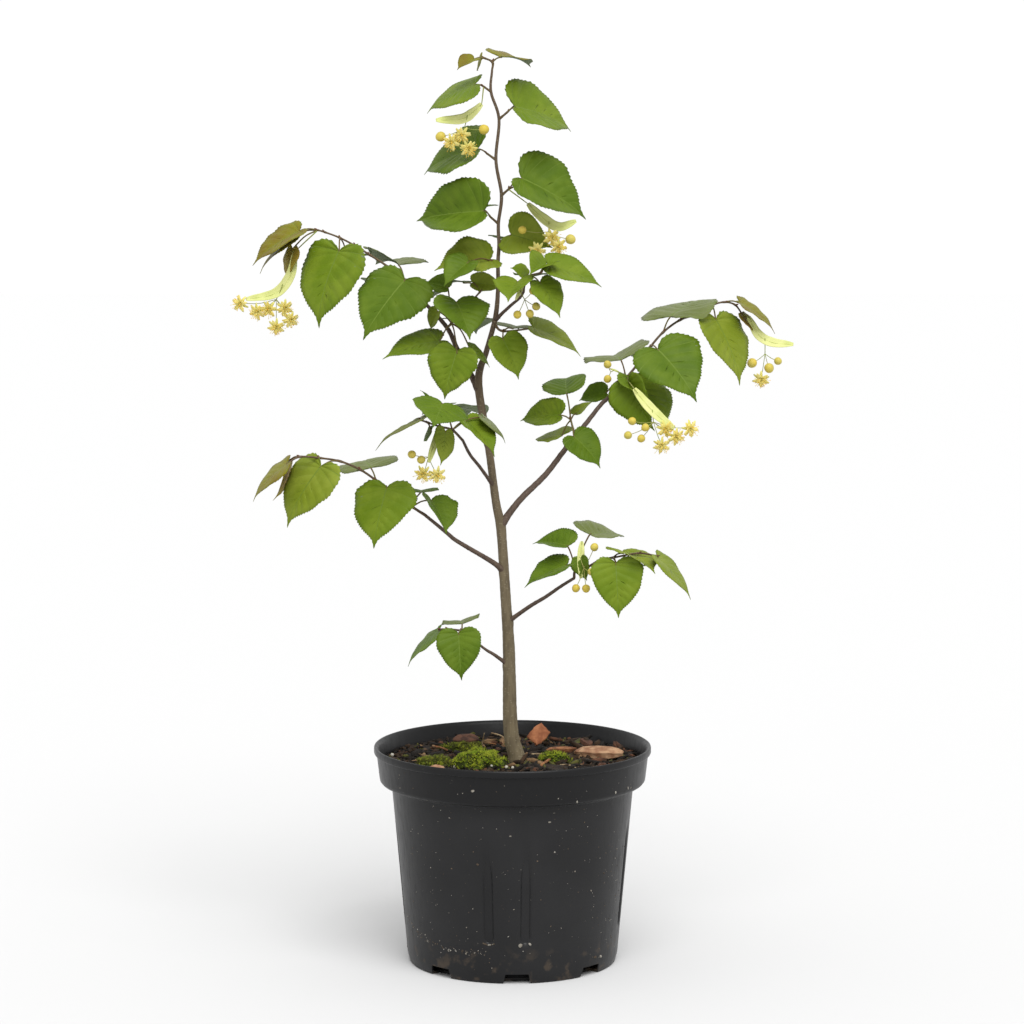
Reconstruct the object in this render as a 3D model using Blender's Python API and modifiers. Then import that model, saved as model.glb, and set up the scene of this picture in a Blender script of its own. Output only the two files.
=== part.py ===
"""Young small-leaved linden tree in a black nursery pot.

Blender 4.5, metres, +Z up. The origin is the centre of the pot's underside, on the ground.
Lengths below are in millimetres until the last step, where MM turns them into metres.
"""

import math
import random
from collections import namedtuple

import bmesh
import bpy
from mathutils import Vector
from mathutils.bvhtree import BVHTree

MM = 0.001
GAP = 0.3
SEED = 2711

# Pot: a ten litre nursery pot, 280 mm across its rim.
POT_HEIGHT = 220.0
RIM_RADIUS = 140.0
BAND_TOP_RADIUS = 137.2
BAND_LOW_RADIUS = 134.2
BAND_LOW_HEIGHT = 184.0
WALL_TOP_RADIUS = 122.0
WALL_LOW_RADIUS = 107.2
FOOT_RADIUS = 104.0
FOOT_INNER_RADIUS = 92.5
DISC_RADIUS = 58.0
FLOOR_RISE = 9.0
POT_WALL = 2.6
POT_STEPS = 32
SLOT_COUNT = 8
SLOT_WIDTH_LOW = 27.0
SLOT_WIDTH_TOP = 23.0
SLOT_HEIGHT = 10.0
SLOT_FIRST_ANGLE = 2.4

# Filling of the pot.
SOIL_HEIGHT = 203.0
SOIL_RADIUS = 132.8

# Trunk: its line and radius from the soil to the top fork, (x, y, z, radius).
TRUNK_LINE = (
    (8.5, -9.8, SOIL_HEIGHT - 6.0, 12.0),
    (3.5, -9.0, 212.0, 8.6),
    (-2.0, -7.5, 240.0, 7.5),
    (-3.6, -3.0, 317.0, 6.0),
    (-6.8, 0.0, 368.0, 5.2),
    (-11.2, 3.0, 435.0, 4.8),
    (-17.0, 4.0, 469.0, 4.2),
    (-23.5, 4.0, 519.0, 3.9),
    (-34.0, 3.0, 586.0, 4.0),
    (-25.4, 1.0, 620.0, 2.8),
    (-17.0, 0.0, 652.0, 2.5),
    (-14.4, -1.0, 680.0, 2.1),
    (-14.4, -2.0, 707.0, 1.9),
    (-13.4, -2.0, 724.0, 1.8),
    (-14.0, -1.0, 745.0, 1.7),
    (-10.9, 0.0, 773.0, 1.7),
    (-16.4, 3.0, 808.0, 1.6),
    (-13.4, 4.0, 848.0, 1.5),
    (-21.3, 4.0, 875.0, 1.4),
    (-20.2, 4.0, 896.0, 1.1),
)

# Leaf: half outline as (along, aside) shares of its length, from the heel to the tip.
LEAF_HALF = ((-0.13, 0.24), (0.05, 0.45), (0.36, 0.47), (0.69, 0.22))
LEAF_MIDRIB = (0.0, 0.36, 0.70, 1.0)
LEAF_THICKNESS = 0.9
LEAF_ARCH = 0.05
LEAF_VARIATION = 0.04
PETIOLE_RADIUS = 0.85
PETIOLE_ROOT = 0.12
TWIG_RADIUS = 1.3
TWIG_TIP_RADIUS = 0.9

# Blossom: a pale bract, thin stalks and round heads.
BRACT_HALF_WIDTH = 5.2
BRACT_SHAPE = (0.25, 0.85, 1.0, 0.8, 0.2)
BRACT_THICKNESS = 0.8
STALK_RADIUS = 0.6
BUD_RADIUS = 4.0
FLOWER_RADIUS = 7.0

# A mass keeps within this distance of its own twigs.
SPRAY_REACH = 120.0

# Pieces of a mass that touch edge to edge are moved by up to this much before the next try.
JOIN_SHIFT = 0.05
JOIN_ATTEMPTS = 8

Limb = namedtuple("Limb", "name height points base_radius tip_radius")
Leaf = namedtuple("Leaf", "node petiole blade face fold wide", defaults=(1.0,))
Bloom = namedtuple("Bloom", "node stalk bract heads")
Head = namedtuple("Head", "place radius")
Spray = namedtuple("Spray", "name limb height nodes leaves blooms side", defaults=((), None))
Chip = namedtuple("Chip", "name place size turn")

FRONT = (0, -1, 0)
UP = (0, 0, 1)

# Boughs: where each leaves the trunk (height) and the line that it follows from there.
BOUGHS = (
    Limb("bough_low_left", 303.0, ((-17.6, -12, 313.5), (-25.6, -16, 319), (-32.6, -20, 325)),
         2.0, 1.3),
    Limb("bough_low_right", 347.0, ((17.5, -14, 363.5), (32.5, -24, 374), (47, -36, 386),
                                    (61, -48, 396.5)), 2.2, 1.5),
    Limb("bough_left", 398.0, ((-19.5, -8, 407), (-54, -26, 430), (-65, -32, 439.5),
                               (-86.5, -44, 459)), 2.8, 1.6),
    Limb("bough_right", 444.0, ((7.5, 10, 468), (33, 22, 492), (54, 32, 518), (73.5, 42, 541),
                                (89, 50, 560), (97, 54, 567)), 3.5, 2.1),
    Limb("bough_mid_left", 484.0, ((-32.4, -18, 504), (-42, -34, 518), (-49, -52, 534)),
         1.9, 1.4),
    Limb("bough_back", 517.0, ((-32.9, 40, 536), (-47.8, 90, 543)), 2.4, 1.6),
    Limb("bough_upper_left", 581.0, ((-42.5, 10, 596), (-55, 22, 618), (-66, 32, 640),
                                     (-88.4, 46, 664)), 3.2, 1.8),
    Limb("spur_mid_right", 651.0, ((-2.5, -14, 664), (7.4, -26, 673), (11, -32, 679)),
         1.8, 1.3),
)

# Foliage masses: twig nodes from the limb's tip, or from the trunk at a height, then what
# grows at each node. A blade runs from heel to tip, and its upper side looks along face.
SPRAYS = (
    Spray("spray_low_left", "bough_low_left", None,
          ((-42.5, -26, 337), (-50.4, -30, 341), (-64, -32, 343), (-72, -34, 343)),
          (Leaf(1, (-3, -14, 0), (3, -10, -46), (-1, -10, 2), 16),
           Leaf(1, (0, 6, 5), (-3, 42, -3), (-2, 1, 10), 16, 1.08),
           Leaf(3, (-2, -1, -3), (-32, -3, -34), (-7, -1, 7), 4))),
    Spray("spray_low_right", "bough_low_right", None,
          ((62.5, -49, 404), (74.5, -56, 409), (87, -62, 417), (99, -63, 419),
           (124, -68, 424), (141, -72, 422)),
          (Leaf(0, (-8, -1, 25), (-34, 30, 0), (-2, -3, 9), 27, 0.97),
           Leaf(0, (-9, -9, 7), (-42, -6, -21), (-4, -3, 9), 18),
           Leaf(0, (14, 4, 36), (35, 40, -7), (3, -1, 10), 13),
           Leaf(0, (5, -9, 14), (6, -1, -23), (-4, -9, 0), 34),
           Leaf(3, (2, -8, -3), (2, -9, -53), (1, -10, 2), 18),
           Leaf(3, (9, 6, 4), (33, -41, -14), (3, -1, 10), 17),
           Leaf(3, (6, 12, -14), (6, 56, -12), (0, 1, 9), 12),
           Leaf(5, (2, 0, -2), (33, -5, -40), (7, -2, 6), 5, 0.97)),
          (Bloom(0, (6, -5, 30), ((0, 0, 0), (-1, -3, -12), (-1, -5, -24), (-1, -6, -36)),
                 (Head((12, -8, -5), BUD_RADIUS), Head((9, -24, -27), BUD_RADIUS),
                  Head((-6, -10, -45), BUD_RADIUS), Head((4, -12, -45), BUD_RADIUS))),)),
    Spray("spray_left", "bough_left", None,
          ((-99, -50, 468), (-125, -62, 489), (-134, -66, 496), (-149, -72, 507),
           (-168, -80, 516), (-187, -88, 520), (-206, -95, 522), (-217, -99, 517)),
          (Leaf(0, (19, -4, 7), (16, -24, -31), (6, -4, 6), 25, 1.16),
           Leaf(0, (8, 2, 14), (0, 36, -3), (0, 1, 9), 12),
           Leaf(1, (2, -16, 1), (-10, -23, -57), (-4, -8, 4), 4, 1.05),
           Leaf(1, (0, 14, -16), (2, 58, -14), (0, 1, 9), 12),
           Leaf(2, (-5, 3, 12), (-12, 61, 0), (-2, 0, 10), 5, 0.96),
           Leaf(4, (-18, -16, -3), (-34, -11, -58), (-6, -7, 5), 3),
           Leaf(6, (-13, 8, -7), (-13, -12, -37), (9, -2, -3), 10, 0.82),
           Leaf(7, (-2, -1, -1), (-34, 4, -36), (-7, -2, 6), 6))),
    Spray("spray_right_side", "bough_right", None,
          ((59, 42, 546),),
          (Leaf(0, (-4, 10, 26), (-1, 48, 13), (-2, -3, 9), 23),
           Leaf(0, (-11, -2, 5), (-41, 27, -7), (-5, -6, 6), 29, 0.79),
           Leaf(0, (6, 16, 5), (17, 10, 12), (-4, -3, 8), 17, 0.97),
           Leaf(0, (-9, 4, -16), (-26, 30, -6), (-3, -1, 9), 6, 1.03),
           Leaf(0, (3, -22, -15), (28, -8, -30), (4, -7, 6), 10, 1.04)),
          (), (62, 36, 530)),
    Spray("spray_right", "bough_right", None,
          ((115.5, 62, 587), (127, 68, 600), (140, 75, 617), (154, 81, 632.5),
           (171.5, 88, 644.5), (189, 94, 650), (205, 99, 659), (217.5, 103, 662),
           (229, 106, 659), (236.5, 108, 649)),
          (Leaf(0, (2, -24, -3), (27, -9, -48), (-5, -9, -1), 36),
           Leaf(0, (-5, 5, 18), (-6, 69, -2), (-3, 0, 10), 18, 1.05),
           Leaf(0, (-20, 22, -17), (-28, 13, -8), (-5, -8, 5), 35, 0.88),
           Leaf(0, (7, 0, -3), (35, -28, -49), (6, -4, 7), 17, 1.13),
           Leaf(2, (7, -28, 0), (41, -30, -49), (2, -8, 6), 11, 1.06),
           Leaf(2, (12, 16, -12), (10, 60, -12), (0, 1, 9), 12),
           Leaf(3, (7, 4, 16), (45, 61, 15), (-2, -1, 10), 4, 1.1),
           Leaf(6, (3, -16, -14), (24, -20, -65), (7, -6, 4), 5, 0.97),
           Leaf(7, (17, 2, -1), (37, 2, -30), (6, -2, 8), 8),
           Leaf(9, (0, -2, 0), (13, -4, -19), (7, -4, 6), 6)),
          (Bloom(0, (6, -62, -6), ((0, 0, 0), (11, -3, -14), (25, -6, -28), (40, -8, -39)),
                 (Head((-2, -8, -32), BUD_RADIUS), Head((-6, -8, -46), BUD_RADIUS),
                  Head((7, -8, -49), BUD_RADIUS), Head((11, -10, -38), BUD_RADIUS),
                  Head((27, -10, -55), FLOWER_RADIUS), Head((30, -8, -39), FLOWER_RADIUS),
                  Head((41, -8, -47), FLOWER_RADIUS), Head((55, -7, -39), FLOWER_RADIUS))),
           Bloom(0, (-7, -4, 6), ((0, 0, 0), (-4, -2, 2), (-7, -3, 3), (-10, -4, 4)),
                 (Head((-12, -4, 8), BUD_RADIUS), Head((-12, -6, -6), BUD_RADIUS))),
           Bloom(9, (6, -4, -2), ((0, 0, 0), (10, -3, -18), (24, -6, -26), (46, -8, -28)),
                 (Head((4, -8, -47), BUD_RADIUS + 1), Head((13, -8, -63), FLOWER_RADIUS),
                  Head((21, -8, -52), BUD_RADIUS + 1), Head((30, -8, -45), BUD_RADIUS))))),
    Spray("spray_mid_left", "bough_mid_left", None,
          ((-59, -66, 545.5), (-70.5, -80, 550), (-82, -92, 555), (-88.5, -98, 558)),
          (Leaf(0, (14, 6, 8), (29, -15, -33), (6, -4, 7), 20),
           Leaf(0, (30, 20, 11), (23, -2, -25), (7, -1, 7), 3),
           Leaf(0, (-9, -14, 28), (-7, -43, -19), (3, -4, 9), 3, 1.17),
           Leaf(1, (-5, 12, 19), (-14, 4, 16), (7, -1, 7), 2, 1.09),
           Leaf(1, (5, -6, -4), (-5, -11, -32), (7, -7, 1), 3, 0.82),
           Leaf(2, (3, -6, -8), (-8, 15, -11), (-9, -2, 4), 8, 0.82),
           Leaf(3, (1, -4, 1), (-46, -6, -28), (-5, 0, 9), 8)),
          (Bloom(1, (-3, -4, -4), ((0, 0, 0), (-2, -3, -10), (-5, -6, -20), (-8, -8, -30)),
                 (Head((-24, -8, -22), BUD_RADIUS), Head((-15, -8, -27), BUD_RADIUS),
                  Head((-13, -8, -40), FLOWER_RADIUS), Head((0, -8, -41), FLOWER_RADIUS))),)),
    Spray("spray_back", "bough_back", None,
          ((-63, 140, 546.5), (-71, 165, 548)),
          (Leaf(0, (6, -10, 4), (32, 38, -12), (0, 1, 9), 12),
           Leaf(0, (-12, 6, 4), (-22, 52, -12), (0, 1, 9), 12),
           Leaf(1, (4, 10, -2), (16, 56, -16), (0, 1, 9), 12))),
    Spray("spray_upper_left_inner", "bough_upper_left", None,
          ((-61, 22, 645), (-47.6, 16, 660), (-32.4, 8, 677)),
          (Leaf(0, (6, -35, -25), (-11, -4, -48), (-4, -9, 2), 16, 1.12),
           Leaf(0, (-12, -12, -17), (-57, -10, -17), (-2, -4, 9), 9, 0.96),
           Leaf(0, (-14, -4, 12), (-8, 9, -19), (-8, -6, 0), 24, 0.93),
           Leaf(0, (19, -43, -22), (20, 8, -19), (7, -3, 6), 8, 0.8),
           Leaf(1, (-8, -26, 8), (13, -33, -35), (3, -6, 7), 18, 1.19),
           Leaf(1, (6, 12, -4), (5, 35, -12), (0, 1, 9), 12),
           Leaf(1, (2, 20, -14), (10, 58, -14), (0, 1, 9), 12),
           Leaf(2, (-7, 6, 9), (30, 11, -5), (4, -9, 3), 36, 0.76),
           Leaf(2, (-16, 4, 8), (-20, 36, -3), (0, 1, 9), 12),
           Leaf(0, (-4, 12, 35), (-23, 12, 6), (-2, -8, 6), 35)),
          (), (-66, 32, 640)),
    Spray("spray_upper_left", "bough_upper_left", None,
          ((-109, 56, 684), (-126, 64, 699.5), (-145, 72, 711.5), (-160, 78, 720.5),
           (-176, 84, 728.5), (-191.5, 90, 734), (-199, 93, 736)),
          (Leaf(0, (24, -4, -10), (4, 34, -6), (0, -1, 9), 14),
           Leaf(0, (1, -30, 4), (-41, -25, -58), (-3, -8, 6), 5, 1.06),
           Leaf(0, (-7, 8, 17), (-24, 76, -1), (2, 1, 10), 25, 1.1),
           Leaf(1, (2, 14, -16), (-4, 60, -14), (0, 1, 9), 12),
           Leaf(4, (0, -18, -13), (-24, -15, -76), (-6, -7, 3), 7, 1.08),
           Leaf(4, (6, 14, -20), (-8, 60, -12), (0, 1, 9), 12),
           Leaf(6, (-19, 5, -1), (-48, -7, -34), (-5, -4, 8), 14, 0.95),
           Leaf(6, (-23, 4, -6), (-38, -7, -37), (-7, -1, 7), 3, 1.03),
           Leaf(6, (-26, 0, -19), (-6, 0, -32), (-9, -5, 2), 4)),
          (Bloom(6, (-23, -4, -22), ((0, 0, 0), (-5, -3, -24), (-20, -6, -42), (-50, -9, -48)),
                 (Head((-55, -8, -52), FLOWER_RADIUS), Head((-38, -8, -60), FLOWER_RADIUS),
                  Head((-26, -10, -57), FLOWER_RADIUS), Head((-11, -8, -56), FLOWER_RADIUS),
                  Head((-19, -12, -75), FLOWER_RADIUS), Head((-5, -8, -68), FLOWER_RADIUS))),)),
    Spray("spray_mid_right", "spur_mid_right", None,
          ((12, -38, 687), (17, -42, 695), (27, -46, 698)),
          (Leaf(0, (-7, -14, 3), (-10, -31, -18), (-2, -4, 9), 28, 1.22),
           Leaf(0, (6, 2, 7), (0, 38, -2), (0, 1, 9), 12),
           Leaf(1, (10, -12, -6), (20, -8, -34), (6, -7, 5), 11),
           Leaf(2, (9, -6, 7), (52, 4, -21), (4, -5, 8), 15, 0.86),
           Leaf(2, (6, -2, 9), (-17, -27, -9), (2, -4, 9), 40, 1.18),
           Leaf(0, (3, 4, 9), (-17, -11, 8), (6, -6, 6), 9)),
          (Bloom(0, (-1, -8, 3), ((0, 0, 0), (-2, -3, -6), (-5, -5, -12), (-8, -6, -18)),
                 (Head((-6, -8, -32), BUD_RADIUS), Head((6, -8, -31), BUD_RADIUS),
                  Head((12, -6, -24), BUD_RADIUS), Head((9, -8, -9), BUD_RADIUS))),)),
    Spray("spray_leader_low", None, 646.0,
          ((-9.4, -10, 639), (19, -14, 642)),
          (Leaf(0, (0, -12, -7), (15, -6, -40), (5, -8, 3), 12, 1.07),
           Leaf(0, (10, 14, 2), (4, 42, -2), (1, 1, 9), 12),
           Leaf(1, (2, -2, 1), (48, 8, -27), (5, -3, 8), 12, 0.93))),
    Spray("spray_leader_left", None, 707.0,
          ((-19.5, -8, 708),),
          (Leaf(0, (-24, -16, 0), (-24, -14, -23), (-3, -7, 7), 24, 1.05),
           Leaf(0, (-3, 4, 2), (-55, -15, -9), (0, -5, 9), 16, 1.11))),
    Spray("spray_leader_right", None, 722.0,
          ((-6.5, 4, 727),),
          (Leaf(0, (5, 12, 7), (41, -16, -13), (-2, -9, 4), 34, 1.21),
           Leaf(0, (2, 10, 3), (8, 58, -10), (0, 1, 9), 12))),
    Spray("spray_upper_left_leaf", None, 745.0,
          ((-21, -3, 751),),
          (Leaf(0, (-8, -2, 7), (-69, 44, -13), (-5, -7, 5), 34, 0.91),
           Leaf(0, (-12, 12, 10), (-12, 58, -8), (0, 1, 9), 12))),
    Spray("spray_upper_right", None, 773.0,
          ((-4, -2, 779),),
          (Leaf(0, (13, -2, 11), (65, 12, -41), (5, -6, 6), 19, 1.12),
           Leaf(0, (22, 12, 4), (8, 58, -8), (0, 1, 9), 12)),
          (Bloom(0, (19, -5, -14), ((0, 0, 0), (12, -2, -12), (30, -4, -23), (48, -6, -17)),
                 (Head((-5, -6, -26), BUD_RADIUS), Head((10, -6, -45), FLOWER_RADIUS),
                  Head((23, -6, -32), FLOWER_RADIUS), Head((30, -6, -41), FLOWER_RADIUS),
                  Head((42, -6, -35), BUD_RADIUS + 1))),)),
    Spray("spray_high_left", None, 808.0,
          ((-25, 6, 814),),
          (Leaf(0, (-10, 4, 5), (-56, 35, -25), (-6, -4, 8), 15, 1.1),)),
    Spray("spray_high_right", None, 848.0,
          ((-5, 2, 855),),
          (Leaf(0, (8, -2, 5), (58, 43, -23), (6, -4, 7), 18),
           Leaf(0, (18, 12, 8), (8, 52, -8), (0, 1, 9), 12))),
    Spray("spray_top_left", None, 875.0,
          ((-28.5, 1, 880),),
          (Leaf(0, (-9, -1, 2), (-49, 14, -27), (-5, -3, 8), 3, 1.16),),
          (Bloom(0, (-2, -6, -17), ((0, 0, 0), (-8, -2, -8), (-20, -4, -15), (-45, -6, -16)),
                 (Head((-40, -6, -32), BUD_RADIUS + 1), Head((-29, -8, -37), FLOWER_RADIUS),
                  Head((-19, -8, -30), FLOWER_RADIUS), Head((-13, -10, -43), FLOWER_RADIUS),
                  Head((2, -8, -25), BUD_RADIUS + 1))),)),
    Spray("spray_top", None, 896.0,
          ((-19.8, 4, 904), (-28, 3, 908)),
          (Leaf(0, (8, -3, 5), (31, 44, -8), (3, 0, 10), 14, 0.85),
           Leaf(1, (-10, -2, -1), (-17, -11, -10), (-2, -5, 8), 21, 1.08),
           Leaf(1, (-3, 0, -1), (-4, 18, -11), (-10, -1, 2), 8, 0.82)),
          ()),
)

# What lies on the soil: cushions of moss and pieces of bark, (x, y) and (long, wide, high).
MOSS = (
    ("moss_left", (-34, -38), (56, 44, 15), 20),
    ("moss_right", (42, -12), (36, 22, 9), -15),
    ("moss_far_left", (-78, -30), (44, 30, 8), 10),
    ("moss_back", (-50, 42), (52, 26, 8), -8),
)
CHIPS = (
    Chip("chip_square", (27, 62), (24, 22, 6), 40),
    Chip("chip_long", (50, 34), (32, 8, 5), 16),
    Chip("chip_pale", (88, 8), (50, 17, 7), -14),
    Chip("chip_red", (76, 72), (20, 14, 6), 60),
    Chip("chip_brown", (-48, 78), (26, 16, 6), 8),
    Chip("chip_small", (-76, -62), (18, 9, 4), 25),
)

PARTS = "linden_tree_in_pot"
CUTTERS = "cutters"


def start_clean():
    """Remove what the file holds and make the two collections."""
    for old in list(bpy.data.objects):
        bpy.data.objects.remove(old, do_unlink=True)
    for name in (PARTS, CUTTERS):
        collection = bpy.data.collections.new(name)
        bpy.context.scene.collection.children.link(collection)


def finish(name, colour, roughness):
    """One Principled material in a plain colour."""
    material = bpy.data.materials.new(name)
    material.use_nodes = True
    shader = material.node_tree.nodes["Principled BSDF"]
    shader.inputs["Base Color"].default_value = (*colour, 1.0)
    shader.inputs["Roughness"].default_value = roughness
    return material


def add_object(name, data, collection):
    """A new object in one of the collections."""
    thing = bpy.data.objects.new(name, data)
    bpy.data.collections[collection].objects.link(thing)
    return thing


def evaluated_mesh(thing):
    """The mesh of an object with its modifiers or its curve's bevel worked out."""
    bpy.context.view_layer.update()
    graph = bpy.context.evaluated_depsgraph_get()
    return bpy.data.meshes.new_from_object(thing.evaluated_get(graph))


def mesh_from(name, bm):
    """Close a bmesh into a new mesh, with its faces pointing out."""
    bmesh.ops.recalc_face_normals(bm, faces=bm.faces[:])
    mesh = bpy.data.meshes.new(name)
    bm.to_mesh(mesh)
    bm.free()
    return mesh


def stick_mesh(name, points, radii, resolution):
    """A tapering round limb through points, as a bevelled curve made into a mesh."""
    curve = bpy.data.curves.new(name, "CURVE")
    curve.dimensions = "3D"
    curve.bevel_depth = MM
    curve.bevel_resolution = resolution
    curve.use_fill_caps = True
    spline = curve.splines.new("POLY")
    spline.points.add(len(points) - 1)
    for knot, point, radius in zip(spline.points, points, radii):
        knot.co = (*(Vector(point) * MM), 1.0)
        knot.radius = radius
    guide = add_object(name + "_line", curve, CUTTERS)
    mesh = evaluated_mesh(guide)
    bpy.data.objects.remove(guide, do_unlink=True)
    bpy.data.curves.remove(curve)
    bm = bmesh.new()
    bm.from_mesh(mesh)
    bpy.data.meshes.remove(mesh)
    bmesh.ops.remove_doubles(bm, verts=bm.verts[:], dist=0.00001)
    return mesh_from(name, bm)


def cut_flat(mesh, height):
    """Cut a limb off level at a height and close the cut."""
    bm = bmesh.new()
    bm.from_mesh(mesh)
    every = bm.verts[:] + bm.edges[:] + bm.faces[:]
    bmesh.ops.bisect_plane(bm, geom=every, plane_co=(0.0, 0.0, height * MM),
                           plane_no=(0.0, 0.0, 1.0), clear_inner=True)
    rim = [edge for edge in bm.edges if edge.is_boundary]
    bmesh.ops.holes_fill(bm, edges=rim)
    bm.to_mesh(mesh)
    bm.free()


def tapered(first, last, count):
    """Evenly falling radii for the points of one limb."""
    return [first + (last - first) * step / max(count - 1, 1) for step in range(count)]


def turned(name, profile, steps):
    """A closed profile of (radius, height) turned about the Z axis."""
    mesh = bpy.data.meshes.new(name)
    corners = [(radius * MM, 0.0, height * MM) for radius, height in profile]
    edges = [(index, index + 1) for index in range(len(corners) - 1)]
    mesh.from_pydata(corners, edges, [])
    thing = add_object(name, mesh, PARTS)
    screw = thing.modifiers.new("turn", "SCREW")
    screw.steps = steps
    screw.render_steps = steps
    screw.use_merge_vertices = True
    screw.merge_threshold = 0.00005
    return thing


def shade_round(thing):
    """Smooth shading that keeps the sharp corners."""
    thing.data.shade_smooth()
    thing.data.set_sharp_from_angle(angle=math.radians(35))


def pot_profile():
    """The pot's section: floor, up the inside, over the rim and down the outside."""
    inner_low = WALL_LOW_RADIUS - POT_WALL
    inner_top = WALL_TOP_RADIUS - POT_WALL
    floor = POT_WALL + 0.4
    return (
        (0.0, floor),
        (DISC_RADIUS, floor),
        (DISC_RADIUS + 5.0, FLOOR_RISE + floor),
        (FOOT_INNER_RADIUS - 5.0, FLOOR_RISE + floor),
        (FOOT_INNER_RADIUS - 0.5, floor),
        (inner_low - 1.5, floor),
        (inner_low, floor + 4.0),
        (inner_top, BAND_LOW_HEIGHT - 2.5),
        (BAND_LOW_RADIUS - POT_WALL, BAND_LOW_HEIGHT + 2.0),
        (BAND_TOP_RADIUS - POT_WALL, POT_HEIGHT - 3.5),
        (RIM_RADIUS - 2.8, POT_HEIGHT - 0.8),
        (RIM_RADIUS - 1.4, POT_HEIGHT),
        (RIM_RADIUS, POT_HEIGHT - 1.8),
        (RIM_RADIUS, POT_HEIGHT - 6.5),
        (BAND_TOP_RADIUS, POT_HEIGHT - 8.5),
        (BAND_LOW_RADIUS, BAND_LOW_HEIGHT + 3.0),
        (BAND_LOW_RADIUS - 2.0, BAND_LOW_HEIGHT - 0.5),
        (WALL_TOP_RADIUS + 2.0, BAND_LOW_HEIGHT - 2.0),
        (WALL_TOP_RADIUS, BAND_LOW_HEIGHT - 5.0),
        (WALL_LOW_RADIUS, 11.0),
        (WALL_LOW_RADIUS - 1.2, 4.0),
        (FOOT_RADIUS, 0.0),
        (FOOT_INNER_RADIUS, 0.0),
        (FOOT_INNER_RADIUS - 4.0, FLOOR_RISE),
        (DISC_RADIUS + 4.0, FLOOR_RISE),
        (DISC_RADIUS, 0.0),
        (0.0, 0.0),
    )


def slot_cutter(index):
    """A wedge that opens one drainage slot through the foot of the pot."""
    bm = bmesh.new()
    bmesh.ops.create_cube(bm, size=1.0)
    depth = 30.0
    below = 5.0
    for vert in bm.verts:
        top = vert.co.z > 0
        width = SLOT_WIDTH_TOP if top else SLOT_WIDTH_LOW + 2.0
        vert.co.x *= width * MM
        vert.co.y *= depth * MM
        vert.co.z = SLOT_HEIGHT * MM if top else -below * MM
    cutter = add_object(f"slot_cutter_{index}", mesh_from("slot_cutter", bm), CUTTERS)
    angle = math.radians(-90.0 + SLOT_FIRST_ANGLE + index * 360.0 / SLOT_COUNT)
    reach = WALL_LOW_RADIUS + 1.0
    cutter.location = (math.cos(angle) * reach * MM, math.sin(angle) * reach * MM, 0.0)
    cutter.rotation_euler = (0.0, 0.0, angle + math.pi / 2)
    cutter.hide_render = True
    cutter.display_type = "WIRE"
    return cutter


def build_pot(material):
    """The nursery pot with its drainage slots."""
    pot = turned("pot", pot_profile(), POT_STEPS)
    for index in range(SLOT_COUNT):
        cut = pot.modifiers.new(f"slot_{index}", "BOOLEAN")
        cut.operation = "DIFFERENCE"
        cut.object = slot_cutter(index)
    shade_round(pot)
    pot.data.materials.append(material)


def build_soil(material):
    """The filling, from just above the raised floor to the soil's surface."""
    low = FLOOR_RISE + POT_WALL + 0.4 + GAP
    profile = (
        (0.0, SOIL_HEIGHT),
        (SOIL_RADIUS, SOIL_HEIGHT),
        (BAND_LOW_RADIUS - POT_WALL - 0.5, BAND_LOW_HEIGHT + 3.0),
        (WALL_TOP_RADIUS - POT_WALL - 0.7, BAND_LOW_HEIGHT - 1.0),
        (WALL_LOW_RADIUS - POT_WALL - 0.6, low),
        (0.0, low),
    )
    soil = turned("soil", profile, POT_STEPS)
    soil.data.materials.append(material)


def rng_for(name):
    """A random source that belongs to one named piece."""
    return random.Random(f"{SEED}_{name}")


def build_moss(name, place, size, turn, material):
    """One low cushion of moss with an uneven dome and a flat underside."""
    rng = rng_for(name)
    bm = bmesh.new()
    bmesh.ops.create_icosphere(bm, subdivisions=2, radius=1.0)
    low = [vert for vert in bm.verts if vert.co.z < -0.05]
    bmesh.ops.delete(bm, geom=low, context="VERTS")
    for vert in bm.verts:
        swell = 1.0 + rng.uniform(-0.08, 0.08)
        vert.co.x *= swell * size[0] / 2 * MM
        vert.co.y *= swell * size[1] / 2 * MM
        vert.co.z = max(vert.co.z, 0.0) * swell * size[2] * MM
    rim = [edge for edge in bm.edges if edge.is_boundary]
    bmesh.ops.holes_fill(bm, edges=rim)
    bmesh.ops.triangulate(bm, faces=bm.faces[:])
    moss = add_object(name, mesh_from(name, bm), PARTS)
    moss.location = (place[0] * MM, place[1] * MM, (SOIL_HEIGHT + GAP) * MM)
    moss.rotation_euler = (0.0, 0.0, math.radians(turn))
    moss.data.materials.append(material)


def build_chip(chip, material):
    """One flat piece of bark with uneven corners."""
    rng = rng_for(chip.name)
    bm = bmesh.new()
    bmesh.ops.create_cube(bm, size=1.0)
    bmesh.ops.subdivide_edges(bm, edges=bm.edges[:], cuts=1, use_grid_fill=True)
    for vert in bm.verts:
        narrow = 1.0 - 0.35 * abs(vert.co.x) * rng.uniform(0.6, 1.4)
        vert.co.x *= chip.size[0] * MM * rng.uniform(0.92, 1.06)
        vert.co.y *= chip.size[1] * MM * narrow
        if vert.co.z > 0:
            vert.co.z *= rng.uniform(0.7, 1.1)
        else:
            vert.co.z = max(vert.co.z, -0.5)
        vert.co.z = (vert.co.z + 0.5) * chip.size[2] * MM
    piece = add_object(chip.name, mesh_from(chip.name, bm), PARTS)
    piece.location = (chip.place[0] * MM, chip.place[1] * MM, (SOIL_HEIGHT + GAP) * MM)
    piece.rotation_euler = (0.0, 0.0, math.radians(chip.turn))
    piece.data.materials.append(material)


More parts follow.
